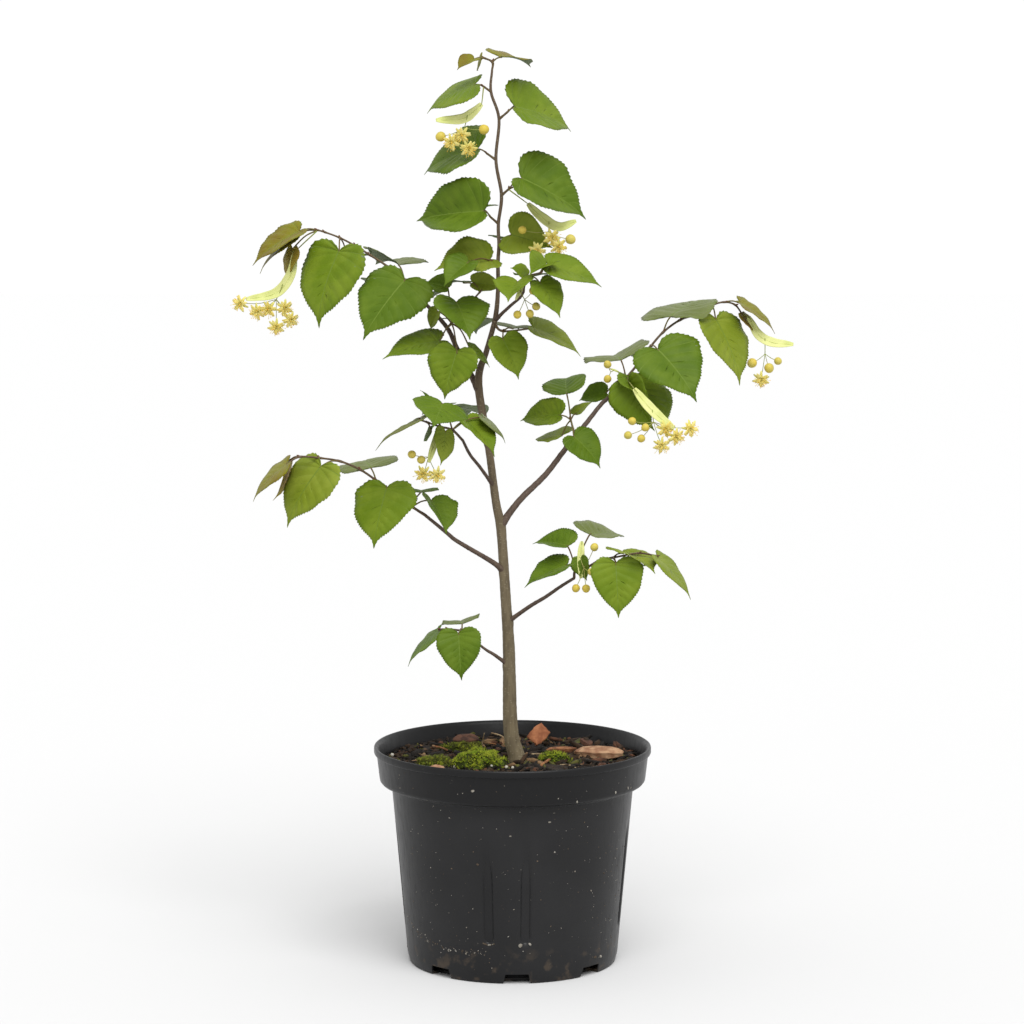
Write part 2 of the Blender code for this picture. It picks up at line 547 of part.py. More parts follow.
def trunk_at(height):
    """The trunk's centre, direction and radius at a height."""
    for low, high in zip(TRUNK_LINE, TRUNK_LINE[1:]):
        if height <= high[2] or high is TRUNK_LINE[-1]:
            share = min((height - low[2]) / (high[2] - low[2]), 1.0)
            line = Vector(high[:3]) - Vector(low[:3])
            radius = low[3] + (high[3] - low[3]) * share
            return Vector(low[:3]) + line * share, line.normalized(), radius


def clear_start(centre, along, radius, own_radius, target):
    """Where a limb that heads for target begins, just clear of the limb that carries it."""
    aim = (target - centre).normalized()
    cosine = abs(aim.dot(along))
    sine = math.sqrt(max(1.0 - cosine * cosine, 0.05))
    return centre + aim * ((radius + GAP + own_radius * cosine) / sine)


def on_line(points, place):
    """The centre and the direction of a limb next to a place."""
    best = min(range(len(points) - 1),
               key=lambda index: ((points[index] + points[index + 1]) / 2 - place).length)
    line = points[best + 1] - points[best]
    share = max(0.0, min(1.0, (place - points[best]).dot(line) / line.length_squared))
    return points[best] + line * share, line.normalized()


def bvh_of(mesh):
    """A search tree of a mesh's faces, in metres."""
    return BVHTree.FromPolygons([vert.co for vert in mesh.vertices],
                                [face.vertices for face in mesh.polygons])


class Wood:
    """The trunk and the boughs, and the solids that foliage has to stay clear of."""

    def __init__(self, bark, twig_bark):
        """Build the trunk, then each bough from the trunk's surface."""
        self.lines = {}
        self.radii = {}
        self.trees = []
        points = [Vector(row[:3]) for row in TRUNK_LINE]
        self.add("trunk", points, [row[3] for row in TRUNK_LINE], 4, bark)
        for limb in BOUGHS:
            centre, along, radius = trunk_at(limb.height)
            route = [Vector(point) for point in limb.points]
            start = clear_start(centre, along, radius, limb.base_radius, route[0])
            route.insert(0, start)
            radii = tapered(limb.base_radius, limb.tip_radius, len(route))
            self.add(limb.name, route, radii, 2, twig_bark)

    def add(self, name, points, radii, resolution, material):
        """One limb as an object, with its line kept for what grows on it."""
        mesh = stick_mesh(name, points, radii, resolution)
        if name == "trunk":
            cut_flat(mesh, SOIL_HEIGHT + GAP)
        mesh.shade_smooth()
        mesh.materials.append(material)
        add_object(name, mesh, PARTS)
        self.lines[name] = points
        self.radii[name] = radii
        self.trees.append(bvh_of(mesh))

    def root_of(self, spray, first):
        """The start of a mass's stem, just clear of its limb."""
        if spray.limb is None:
            if spray.height >= TRUNK_LINE[-1][2]:
                top = Vector(TRUNK_LINE[-1][:3])
                return top + (first - top).normalized() * GAP
            centre, along, radius = trunk_at(spray.height)
            return clear_start(centre, along, radius, TWIG_RADIUS, first)
        line = self.lines[spray.limb]
        if spray.side is not None:
            centre, along = on_line(line, Vector(spray.side))
            return clear_start(centre, along, self.radii[spray.limb][0], TWIG_RADIUS, first)
        lean = (line[-1] - line[-2]).normalized()
        turn = lean.cross((first - line[-1]).normalized()).length
        return line[-1] + lean * (GAP + TWIG_RADIUS * turn)


def leaf_axes(run, face):
    """The unit directions of a blade: along it, out of its upper side and across it."""
    along = run.normalized()
    up = (face - along * face.dot(along)).normalized()
    return along, up, up.cross(along)


def arch_lift(share):
    """How far the midrib stands above its chord, in blade lengths."""
    return LEAF_ARCH * 4.0 * share * (1.0 - share) if share > 0 else 0.0


def leaf_mesh(heel, run, face, fold, width):
    """A heart-shaped blade from its heel to its tip, folded along the midrib."""
    length = run.length
    along, up, aside = leaf_axes(run, face)
    bend = math.radians(fold)

    def spot(share, out):
        rise = arch_lift(share) + abs(out) * math.sin(bend)
        step = along * share + up * rise + aside * (out * math.cos(bend))
        return (heel + step * length) * MM

    bm = bmesh.new()
    middle = [bm.verts.new(spot(share, 0.0)) for share in LEAF_MIDRIB]
    for hand in (-1.0, 1.0):
        edge = [bm.verts.new(spot(share, out * width * hand)) for share, out in LEAF_HALF]
        bm.faces.new((middle[0], edge[0], edge[1]))
        bm.faces.new((middle[0], edge[1], edge[2], middle[1]))
        bm.faces.new((middle[1], edge[2], edge[3], middle[2]))
        bm.faces.new((middle[2], edge[3], middle[3]))
    bmesh.ops.triangulate(bm, faces=bm.faces[:])
    bmesh.ops.recalc_face_normals(bm, faces=bm.faces[:])
    bmesh.ops.solidify(bm, geom=bm.faces[:], thickness=LEAF_THICKNESS * MM)
    return mesh_from("leaf", bm)


def bract_mesh(base, path):
    """The tongue-shaped bract that a flower stalk hangs from."""
    points = [base + Vector(step) for step in path]
    full = [points[0], points[1], (points[1] + points[2]) / 2, points[2], points[3]]
    bm = bmesh.new()
    rows = []
    for index, (point, share) in enumerate(zip(full, BRACT_SHAPE)):
        ahead = full[min(index + 1, len(full) - 1)] - full[max(index - 1, 0)]
        across = ahead.normalized().cross(Vector((0.15, -1.0, 0.45))).normalized()
        half = across * (share * BRACT_HALF_WIDTH)
        rows.append([bm.verts.new((point - half) * MM), bm.verts.new((point + half) * MM)])
    for low, high in zip(rows, rows[1:]):
        bm.faces.new((low[0], low[1], high[1], high[0]))
    bmesh.ops.triangulate(bm, faces=bm.faces[:])
    bmesh.ops.recalc_face_normals(bm, faces=bm.faces[:])
    bmesh.ops.solidify(bm, geom=bm.faces[:], thickness=BRACT_THICKNESS * MM)
    return mesh_from("bract", bm)


def head_mesh(place, radius):
    """One round bud or blossom."""
    bm = bmesh.new()
    bmesh.ops.create_icosphere(bm, subdivisions=1, radius=radius * MM)
    bmesh.ops.translate(bm, verts=bm.verts[:], vec=place * MM)
    return mesh_from("head", bm)


def leaf_pieces(node, leaf, rng):
    """A leaf's stalk and blade, as two meshes that share their joint."""
    heel = node + Vector(leaf.petiole)
    run = Vector(leaf.blade)
    along, up, _ = leaf_axes(run, Vector(leaf.face))
    rise = arch_lift(LEAF_MIDRIB[1]) * PETIOLE_ROOT / LEAF_MIDRIB[1]
    sunk = heel + (along * PETIOLE_ROOT + up * rise) * run.length
    stalk = stick_mesh("stalk", (node, sunk), (PETIOLE_RADIUS, PETIOLE_RADIUS * 0.8), 0)
    width = leaf.wide * (1.0 + rng.uniform(-LEAF_VARIATION, LEAF_VARIATION))
    return [stalk, leaf_mesh(heel, run, Vector(leaf.face), leaf.fold, width)]


def bloom_pieces(node, bloom):
    """A bract on its stalk, with the heads that hang from its middle."""
    base = node + Vector(bloom.stalk)
    path = [Vector(step) for step in bloom.bract]
    hub = base + (path[1] + path[2]) / 2
    pieces = [bract_mesh(base, path)]
    pieces.append(stick_mesh("stalk", (node, base, base + path[1]),
                             tapered(PETIOLE_RADIUS, STALK_RADIUS, 3), 0))
    for head in bloom.heads:
        place = base + Vector(head.place)
        pieces.append(stick_mesh("stalk", (hub, place), (STALK_RADIUS,) * 2, 0))
        pieces.append(head_mesh(place, head.radius))
    return pieces


def is_free(mesh, twigs, trees):
    """Whether a piece stays in its mass's space and clear of all other solids."""
    for vert in mesh.vertices:
        nearest = min((vert.co / MM - point).length for point in twigs)
        if nearest > SPRAY_REACH:
            return False
    own = bvh_of(mesh)
    return not any(own.overlap(other) for other in trees)


def fuse(name, stem, pieces, rng):
    """Join a mass's stem and pieces into one mesh by a single Boolean union."""
    heap = bpy.data.collections.new("heap")
    bpy.context.scene.collection.children.link(heap)
    for index, mesh in enumerate(pieces):
        heap.objects.link(bpy.data.objects.new(f"heap_{index}", mesh))
    base = add_object(name, stem, PARTS)
    join = base.modifiers.new("join", "BOOLEAN")
    join.operation = "UNION"
    join.operand_type = "COLLECTION"
    join.collection = heap
    for attempt in range(JOIN_ATTEMPTS):
        join.solver = "EXACT" if attempt % 2 == 0 else "MANIFOLD"
        mesh = evaluated_mesh(base)
        keep_largest(mesh)
        if is_closed(mesh):
            break
        for thing in heap.objects:
            thing.location = [rng.uniform(-JOIN_SHIFT, JOIN_SHIFT) * MM for _ in range(3)]
    base.modifiers.remove(join)
    base.data = mesh
    for thing in list(heap.objects):
        bpy.data.objects.remove(thing, do_unlink=True)
    bpy.data.collections.remove(heap)
    return base


def is_closed(mesh):
    """Whether each edge of a mesh has exactly two faces."""
    bm = bmesh.new()
    bm.from_mesh(mesh)
    closed = all(len(edge.link_faces) == 2 for edge in bm.edges)
    bm.free()
    return closed


def islands(bm):
    """The connected groups of faces of a bmesh."""
    left = set(bm.faces)
    groups = []
    while left:
        group = {left.pop()}
        edge_of = list(group)
        while edge_of:
            face = edge_of.pop()
            for edge in face.edges:
                for other in edge.link_faces:
                    if other in left:
                        left.remove(other)
                        group.add(other)
                        edge_of.append(other)
        groups.append(group)
    return groups


def keep_largest(mesh):
    """Drop folded faces, loose scraps and sealed hollows, which leaves one outer body."""
    bm = bmesh.new()
    bm.from_mesh(mesh)
    bmesh.ops.triangulate(bm, faces=bm.faces[:])
    by_corners = {}
    for face in bm.faces:
        by_corners.setdefault(frozenset(face.verts), []).append(face)
    folded = [face for pair in by_corners.values() if len(pair) > 1 for face in pair]
    bmesh.ops.delete(bm, geom=folded, context="FACES")
    groups = sorted(islands(bm), key=len)
    for group in groups[:-1]:
        bmesh.ops.delete(bm, geom=list(group), context="FACES")
    loose = [vert for vert in bm.verts if not vert.link_faces]
    bmesh.ops.delete(bm, geom=loose, context="VERTS")
    bm.to_mesh(mesh)
    bm.free()


def build_spray(spray, wood, material):
    """One mass of foliage: its stem, then each leaf and blossom that keeps clear."""
    rng = rng_for(spray.name)
    nodes = [Vector(node) for node in spray.nodes]
    root = wood.root_of(spray, nodes[0])
    route = [root] + nodes
    if len(nodes) == 1:
        route.append(nodes[0] + (nodes[0] - root).normalized() * 2.0)
    stem = stick_mesh("stem", route, tapered(TWIG_RADIUS, TWIG_TIP_RADIUS, len(route)), 0)
    pieces = []
    for leaf in spray.leaves:
        group = leaf_pieces(nodes[leaf.node], leaf, rng)
        if all(is_free(mesh, route, wood.trees) for mesh in group):
            pieces.extend(group)
    for bloom in spray.blooms:
        group = bloom_pieces(nodes[bloom.node], bloom)
        if all(is_free(mesh, route, wood.trees) for mesh in group):
            pieces.extend(group)
    mass = fuse(spray.name, stem, pieces, rng)
    mass.data.materials.clear()
    mass.data.materials.append(material)
    wood.trees.append(bvh_of(mass.data))


def main():
    """Build the pot and its filling, then the tree from the trunk outwards."""
    start_clean()
    build_pot(finish("pot_plastic", (0.028, 0.028, 0.030), 0.55))
    build_soil(finish("soil", (0.045, 0.030, 0.020), 0.95))
    moss_green = finish("moss", (0.13, 0.22, 0.02), 0.95)
    for name, place, size, turn in MOSS:
        build_moss(name, place, size, turn, moss_green)
    chip_brown = finish("bark_chip", (0.38, 0.20, 0.11), 0.85)
    for chip in CHIPS:
        build_chip(chip, chip_brown)
    bark = finish("bark", (0.20, 0.17, 0.12), 0.8)
    twig_bark = finish("twig_bark", (0.09, 0.06, 0.045), 0.7)
    wood = Wood(bark, twig_bark)
    foliage = finish("foliage", (0.14, 0.27, 0.03), 0.5)
    for spray in SPRAYS:
        build_spray(spray, wood, foliage)


main()
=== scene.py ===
"""Young small-leaved linden in a black nursery pot, dressed over its solids.

Lengths are in millimetres until a mesh is made, where MM turns them into metres. The pot
stands on the ground at the origin, +Z is up and -Y is the side towards the camera.
"""

import logging
import math
import random
from dataclasses import dataclass
from enum import Enum
from typing import Callable, NamedTuple, Optional, Sequence, Union

import bmesh
import bpy
import numpy as np
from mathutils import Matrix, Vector

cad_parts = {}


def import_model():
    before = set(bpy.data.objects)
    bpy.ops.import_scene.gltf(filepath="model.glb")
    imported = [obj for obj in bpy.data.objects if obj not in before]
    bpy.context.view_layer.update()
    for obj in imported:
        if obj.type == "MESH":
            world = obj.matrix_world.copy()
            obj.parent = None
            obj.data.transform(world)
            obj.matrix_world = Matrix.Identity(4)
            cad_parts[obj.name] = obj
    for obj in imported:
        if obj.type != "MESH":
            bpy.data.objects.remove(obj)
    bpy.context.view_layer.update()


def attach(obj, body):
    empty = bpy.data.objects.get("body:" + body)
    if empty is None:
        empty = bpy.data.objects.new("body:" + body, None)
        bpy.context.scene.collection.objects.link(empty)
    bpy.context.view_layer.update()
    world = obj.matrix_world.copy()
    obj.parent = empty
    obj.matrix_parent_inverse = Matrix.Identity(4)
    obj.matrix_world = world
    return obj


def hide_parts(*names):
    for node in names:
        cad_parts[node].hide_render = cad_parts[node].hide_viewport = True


LOG = logging.getLogger("linden")
MM = 0.001
SEED = 2711
BODY = "root"
RIPPLE_WAVES = 5
RIPPLE_HEIGHT = 2.6

Colour = tuple[float, float, float]
Point = tuple[float, float, float]
Socket = bpy.types.NodeSocket
Value = Union[float, Colour, Socket]
Shape = tuple[np.ndarray, list]


class Tone(Enum):
    """The colours that the upper side of a leaf may have.

    The dark, mid, bright and light tones are partly each leaf's own colour and partly painted
    light and shade, picked per leaf to how lit it looks. The sheen tone is a painted sheen for
    leaves seen edge-on. Olive, bronze and copper are the leaves' own colours.
    """

    DARK = "leaf_dark"
    MID = "leaf_mid"
    BRIGHT = "leaf_bright"
    LIGHT = "leaf_light"
    OLIVE = "leaf_olive"
    BRONZE = "leaf_bronze"
    COPPER = "leaf_copper"
    # Painted sheen: a greyish colour for leaves seen edge-on, standing in for the gloss that they
    # catch.
    SHEEN = "leaf_sheen"


class Leaf(NamedTuple):
    """One leaf: its node on the twig, its stalk, and its blade from heel to tip."""

    tone: Tone
    node: int
    petiole: Point
    blade: Point
    face: Point
    fold: float
    wide: float = 1.0

    def axes(self) -> tuple[np.ndarray, np.ndarray]:
        """Work out how the blade lies.

        Returns:
            The way from heel to tip and the way that the upper side looks.
        """
        run = np.array(self.blade, float)
        ahead = run / float(np.linalg.norm(run))
        face = np.array(self.face, float)
        return ahead, unit(face - ahead * face.dot(ahead))


class Head(NamedTuple):
    """One bud or open blossom, placed from the start of its bract."""

    place: Point
    radius: float


class Bloom(NamedTuple):
    """A bract on its stalk, with three steps from its start, and the heads under it."""

    node: int
    stalk: Point
    bract: tuple
    heads: tuple


class Spray(NamedTuple):
    """One foliage mass: twig nodes from a limb's tip, or from the trunk at a height."""

    name: str
    limb: Optional[str]
    height: Optional[float]
    nodes: tuple
    leaves: tuple
    blooms: tuple = ()
    side: Optional[Point] = None


class Limb(NamedTuple):
    """One bough: the trunk height that it leaves at, and its line from there."""

    name: str
    height: float
    points: tuple
    base_radius: float
    tip_radius: float


class Chip(NamedTuple):
    """One loose piece of bark on the soil."""

    name: str
    place: tuple
    size: tuple
    turn: float
    tilt: float
    roll: float
    finish: int


class Cushion(NamedTuple):
    """One cushion of moss on the soil."""

    name: str
    place: tuple
    size: tuple
    turn: float
    bright: bool


BUD_RADIUS = 4.0
FLOWER_RADIUS = 7.0

TRUNK_LINE = (
    (8.5, -9.8, 197.0, 12.0),
    (3.5, -9.0, 212.0, 8.6),
    (-2.0, -7.5, 240.0, 7.5),
    (-3.6, -3.0, 317.0, 6.0),
    (-6.8, 0.0, 368.0, 5.2),
    (-11.2, 3.0, 435.0, 4.8),
    (-17.0, 4.0, 469.0, 4.2),
    (-23.5, 4.0, 519.0, 3.9),
    (-34.0, 3.0, 586.0, 4.0),
    (-25.4, 1.0, 620.0, 2.8),
    (-17.0, 0.0, 652.0, 2.5),
    (-14.4, -1.0, 680.0, 2.1),
    (-14.4, -2.0, 707.0, 1.9),
    (-13.4, -2.0, 724.0, 1.8),
    (-14.0, -1.0, 745.0, 1.7),
    (-10.9, 0.0, 773.0, 1.7),
    (-16.4, 3.0, 808.0, 1.6),
    (-13.4, 4.0, 848.0, 1.5),
    (-21.3, 4.0, 875.0, 1.4),
    (-20.2, 4.0, 896.0, 1.1),
)

BOUGHS = (
    Limb("bough_low_left", 303.0, ((-17.6, -12, 313.5), (-25.6, -16, 319), (-32.6, -20, 325)),
         2.0, 1.3),
    Limb("bough_low_right", 347.0, ((17.5, -14, 363.5), (32.5, -24, 374), (47, -36, 386),
                                    (61, -48, 396.5)), 2.2, 1.5),
    Limb("bough_left", 398.0, ((-19.5, -8, 407), (-54, -26, 430), (-65, -32, 439.5),
                               (-86.5, -44, 459)), 2.8, 1.6),
    Limb("bough_right", 444.0, ((7.5, 10, 468), (33, 22, 492), (54, 32, 518), (73.5, 42, 541),
                                (89, 50, 560), (97, 54, 567)), 3.5, 2.1),
    Limb("bough_mid_left", 484.0, ((-32.4, -18, 504), (-42, -34, 518), (-49, -52, 534)),
         1.9, 1.4),
    Limb("bough_back", 517.0, ((-32.9, 40, 536), (-47.8, 90, 543)), 2.4, 1.6),
    Limb("bough_upper_left", 581.0, ((-42.5, 10, 596), (-55, 22, 618), (-66, 32, 640),
                                     (-88.4, 46, 664)), 3.2, 1.8),
    Limb("spur_mid_right", 651.0, ((-2.5, -14, 664), (7.4, -26, 673), (11, -32, 679)),
         1.8, 1.3),
)

SPRAYS = (
    Spray("spray_low_left", "bough_low_left", None,
          ((-42.5, -26, 337), (-50.4, -30, 341), (-64, -32, 343), (-72, -34, 343)),
          (Leaf(Tone.MID, 1, (-3, -16, 0), (3, -10, -46), (-1, -10, 2), 16),
           Leaf(Tone.SHEEN, 1, (0, 14, 5), (-3, 36, -3), (-2, 1, 10), 16, 1.08),
           Leaf(Tone.MID, 3, (-2, 9, -3), (-32, -3, -34), (-7, -1, 7), 4))),
    Spray("spray_low_right", "bough_low_right", None,
          ((62.5, -49, 404), (74.5, -56, 409), (87, -62, 417), (99, -63, 419),
           (124, -68, 424), (141, -72, 422)),
          (Leaf(Tone.MID, 0, (-8, -1, 25), (-34, 30, 0), (-2, -3, 9), 27, 0.97),
           Leaf(Tone.MID, 0, (-9, -9, 7), (-42, -6, -21), (-4, -3, 9), 18),
           Leaf(Tone.SHEEN, 0, (14, 4, 36), (35, 40, -7), (3, -1, 10), 13),
           Leaf(Tone.MID, 0, (5, -9, 14), (6, -1, -23), (-4, -9, 0), 34),
           Leaf(Tone.BRIGHT, 3, (2, -20, -3), (2, -9, -53), (1, -10, 2), 18),
           Leaf(Tone.LIGHT, 3, (9, 6, 4), (33, -41, -14), (3, -1, 10), 17),
           Leaf(Tone.DARK, 3, (6, 12, -14), (6, 56, -12), (0, 1, 9), 12),
           Leaf(Tone.LIGHT, 5, (2, 0, -2), (33, -5, -40), (7, -2, 6), 5, 0.97)),
          (Bloom(0, (6, -5, 30), ((-1, -3, -12), (-1, -5, -24), (-1, -6, -36)),
                 (Head((12, -8, -5), BUD_RADIUS), Head((9, -24, -27), BUD_RADIUS),
                  Head((-6, -10, -45), BUD_RADIUS), Head((4, -12, -45), BUD_RADIUS))),)),
    Spray("spray_left", "bough_left", None,
          ((-99, -50, 468), (-125, -62, 489), (-134, -66, 496), (-149, -72, 507),
           (-168, -80, 516), (-187, -88, 520), (-206, -95, 522), (-217, -99, 517)),
          (Leaf(Tone.MID, 0, (19, -4, 7), (16, -24, -31), (6, -4, 6), 25, 1.16),
           Leaf(Tone.MID, 0, (8, 2, 14), (0, 36, -3), (0, 1, 9), 12),
           Leaf(Tone.BRIGHT, 1, (2, -16, 1), (-10, -23, -57), (-4, -8, 4), 4, 1.05),
           Leaf(Tone.DARK, 1, (0, 14, -16), (2, 58, -14), (0, 1, 9), 12),
           Leaf(Tone.SHEEN, 2, (-5, 3, 12), (-12, 61, 0), (-2, 0, 10), 5, 0.96),
           Leaf(Tone.LIGHT, 4, (-18, -16, -3), (-34, -11, -58), (-6, -7, 5), 3),
           Leaf(Tone.COPPER, 6, (-13, 18, -7), (-13, -12, -37), (9, -2, -3), 10, 0.82),
           Leaf(Tone.BRONZE, 7, (-2, -6, -1), (-34, 4, -36), (-7, -2, 6), 6))),
    Spray("spray_right_side", "bough_right", None,
          ((59, 42, 546),),
          (Leaf(Tone.MID, 0, (-4, 10, 26), (-1, 48, 13), (-2, -3, 9), 23),
           Leaf(Tone.BRIGHT, 0, (-11, -2, 5), (-41, 27, -7), (-5, -6, 6), 29, 0.79),
           Leaf(Tone.LIGHT, 0, (6, 16, 5), (17, 10, 12), (-4, -3, 8), 17, 0.97),
           Leaf(Tone.LIGHT, 0, (-9, 4, -16), (-26, 30, -6), (-3, -1, 9), 6, 1.03),
           Leaf(Tone.MID, 0, (3, -22, -15), (28, -8, -30), (4, -7, 6), 10, 1.04)),
          (), (62, 36, 530)),
    Spray("spray_right", "bough_right", None,
          ((115.5, 62, 587), (127, 68, 600), (140, 75, 617), (154, 81, 632.5),
           (171.5, 88, 644.5), (189, 94, 650), (205, 99, 659), (217.5, 103, 662),
           (229, 106, 659), (236.5, 108, 649)),
          (Leaf(Tone.BRIGHT, 0, (2, -24, -3), (27, -9, -48), (-5, -9, -1), 36),
           Leaf(Tone.SHEEN, 0, (-5, 5, 18), (-6, 69, -2), (-3, 0, 10), 18, 1.05),
           Leaf(Tone.MID, 0, (-20, 22, -17), (-28, 13, -8), (-5, -8, 5), 35, 0.88),
           Leaf(Tone.BRIGHT, 0, (7, 0, -3), (35, -28, -49), (6, -4, 7), 17, 1.13),
           Leaf(Tone.MID, 2, (7, -28, 0), (41, -30, -49), (2, -8, 6), 11, 1.06),
           Leaf(Tone.MID, 2, (12, 16, -12), (10, 60, -12), (0, 1, 9), 12),
           Leaf(Tone.SHEEN, 3, (7, -1, 16), (45, 61, 15), (-2, -1, 10), 4, 1.1),
           Leaf(Tone.LIGHT, 6, (3, -16, -14), (24, -20, -65), (7, -6, 4), 5, 0.97),
           Leaf(Tone.BRONZE, 7, (17, 2, -1), (37, 2, -30), (6, -2, 8), 8),
           Leaf(Tone.COPPER, 9, (0, -2, 0), (13, -4, -19), (7, -4, 6), 6)),
          (Bloom(0, (6, -62, -6), ((11, -3, -14), (25, -6, -28), (40, -8, -39)),
                 (Head((-2, -8, -32), BUD_RADIUS), Head((-6, -8, -46), BUD_RADIUS),
                  Head((7, -8, -49), BUD_RADIUS), Head((11, -10, -38), BUD_RADIUS),
                  Head((27, -10, -55), FLOWER_RADIUS), Head((30, -8, -39), FLOWER_RADIUS),
                  Head((41, -8, -47), FLOWER_RADIUS), Head((55, -7, -39), FLOWER_RADIUS))),
           Bloom(0, (-7, -4, 6), ((-4, -2, 2), (-7, -3, 3), (-10, -4, 4)),
                 (Head((-12, -4, 8), BUD_RADIUS), Head((-12, -6, -6), BUD_RADIUS))),
           Bloom(9, (6, -4, -2), ((10, -3, -18), (24, -6, -26), (46, -8, -28)),
                 (Head((4, -8, -47), BUD_RADIUS + 1), Head((13, -8, -63), FLOWER_RADIUS),
                  Head((21, -8, -52), BUD_RADIUS + 1), Head((30, -8, -45), BUD_RADIUS))))),
    Spray("spray_mid_left", "bough_mid_left", None,
          ((-59, -66, 545.5), (-70.5, -80, 550), (-82, -92, 555), (-88.5, -98, 558)),
          (Leaf(Tone.BRIGHT, 0, (14, 12, 8), (29, -15, -33), (6, -4, 7), 20),
           Leaf(Tone.SHEEN, 0, (30, 20, 11), (23, -2, -25), (7, -1, 7), 3),
           Leaf(Tone.MID, 0, (-9, -24, 28), (-7, -43, -19), (3, -4, 9), 3, 1.17),
           Leaf(Tone.DARK, 1, (-5, 12, 19), (-14, 4, 16), (7, -1, 7), 2, 1.09),
           Leaf(Tone.LIGHT, 1, (5, -6, -4), (-5, -11, -32), (7, -7, 1), 3, 0.82),
           Leaf(Tone.MID, 2, (3, -6, -8), (-8, 15, -11), (-9, -2, 4), 8, 0.82),
           Leaf(Tone.OLIVE, 3, (1, -4, 1), (-46, -6, -28), (-5, 0, 9), 8)),
          (Bloom(1, (-3, -4, -4), ((-2, -3, -10), (-5, -6, -20), (-8, -8, -30)),
                 (Head((-24, -8, -22), BUD_RADIUS), Head((-15, -8, -27), BUD_RADIUS),
                  Head((-13, -8, -40), FLOWER_RADIUS), Head((0, -8, -41), FLOWER_RADIUS))),)),
    Spray("spray_back", "bough_back", None,
          ((-63, 140, 546.5), (-71, 165, 548)),
          (Leaf(Tone.DARK, 0, (6, -10, 4), (32, 38, -12), (0, 1, 9), 12),
           Leaf(Tone.MID, 0, (-12, 30, 4), (-22, 36, -12), (0, 1, 9), 12),
           Leaf(Tone.MID, 1, (4, 34, -2), (16, 39, -16), (0, 1, 9), 12))),
    Spray("spray_upper_left_inner", "bough_upper_left", None,
          ((-61, 22, 645), (-47.6, 16, 660), (-32.4, 8, 677)),
          (Leaf(Tone.BRIGHT, 0, (6, -47, -25), (-11, -4, -48), (-4, -9, 2), 16, 1.12),
           Leaf(Tone.BRIGHT, 0, (-12, -10, -17), (-57, -10, -17), (-2, -4, 9), 9, 0.96),
           Leaf(Tone.LIGHT, 0, (-14, -4, 12), (-8, 9, -19), (-8, -6, 0), 24, 0.93),
           Leaf(Tone.BRIGHT, 0, (19, -43, -22), (20, 8, -19), (7, -3, 6), 8, 0.8),
           Leaf(Tone.MID, 1, (-8, -26, 8), (13, -33, -35), (3, -6, 7), 18, 1.19),
           Leaf(Tone.DARK, 1, (6, 24, -4), (5, 27, -12), (0, 1, 9), 12),
           Leaf(Tone.SHEEN, 1, (2, 20, -14), (10, 58, -14), (0, 1, 9), 12),
           Leaf(Tone.LIGHT, 2, (-7, 6, 9), (30, 11, -5), (4, -9, 3), 36, 0.76),
           Leaf(Tone.DARK, 2, (-16, 30, 8), (-20, 25, -3), (0, 1, 9), 12),
           Leaf(Tone.MID, 0, (-4, 7, 35), (-23, 12, 6), (-2, -8, 6), 35)),
          (), (-66, 32, 640)),
    Spray("spray_upper_left", "bough_upper_left", None,
          ((-109, 56, 684), (-126, 64, 699.5), (-145, 72, 711.5), (-160, 78, 720.5),
           (-176, 84, 728.5), (-191.5, 90, 734), (-199, 93, 736)),
          (Leaf(Tone.MID, 0, (24, -4, -10), (4, 34, -6), (0, -1, 9), 14),
           Leaf(Tone.MID, 0, (1, -30, 4), (-41, -25, -58), (-3, -8, 6), 5, 1.06),
           Leaf(Tone.SHEEN, 0, (-7, 30, 17), (-24, 61, -1), (2, 1, 10), 25, 1.1),
           Leaf(Tone.MID, 1, (2, 14, -16), (-4, 60, -14), (0, 1, 9), 12),
           Leaf(Tone.BRIGHT, 4, (0, -18, -13), (-24, -15, -76), (-6, -7, 3), 7, 1.08),
           Leaf(Tone.MID, 4, (6, 30, -20), (-8, 49, -12), (0, 1, 9), 12),
           Leaf(Tone.BRONZE, 6, (-19, -1, -1), (-48, -7, -34), (-5, -4, 8), 14, 0.95),
           Leaf(Tone.BRONZE, 6, (-23, 4, -6), (-38, -7, -37), (-7, -1, 7), 3, 1.03),
           Leaf(Tone.COPPER, 6, (-26, 0, -19), (-6, 0, -32), (-9, -5, 2), 4)),
          (Bloom(6, (-23, -4, -22), ((-5, -3, -24), (-20, -6, -42), (-50, -9, -48)),
                 (Head((-55, -8, -52), FLOWER_RADIUS), Head((-38, -8, -60), FLOWER_RADIUS),
                  Head((-26, -10, -57), FLOWER_RADIUS), Head((-11, -8, -56), FLOWER_RADIUS),
                  Head((-19, -12, -75), FLOWER_RADIUS), Head((-5, -8, -68), FLOWER_RADIUS))),)),
    Spray("spray_mid_right", "spur_mid_right", None,
          ((12, -38, 687), (17, -42, 695), (27, -46, 698)),
          (Leaf(Tone.BRIGHT, 0, (-7, -14, 3), (-10, -31, -18), (-2, -4, 9), 28, 1.22),
           Leaf(Tone.DARK, 0, (6, 8, 7), (0, 34, -2), (0, 1, 9), 12),
           Leaf(Tone.BRIGHT, 1, (10, -12, -6), (20, -8, -34), (6, -7, 5), 11),
           Leaf(Tone.BRIGHT, 2, (9, -2, 7), (52, 4, -21), (4, -5, 8), 15, 0.86),
           Leaf(Tone.BRIGHT, 2, (6, -2, 9), (-17, -27, -9), (2, -4, 9), 40, 1.18),
           Leaf(Tone.BRIGHT, 0, (3, 4, 9), (-17, -11, 8), (6, -6, 6), 9)),
          (Bloom(0, (-1, -8, 3), ((-2, -3, -6), (-5, -5, -12), (-8, -6, -18)),
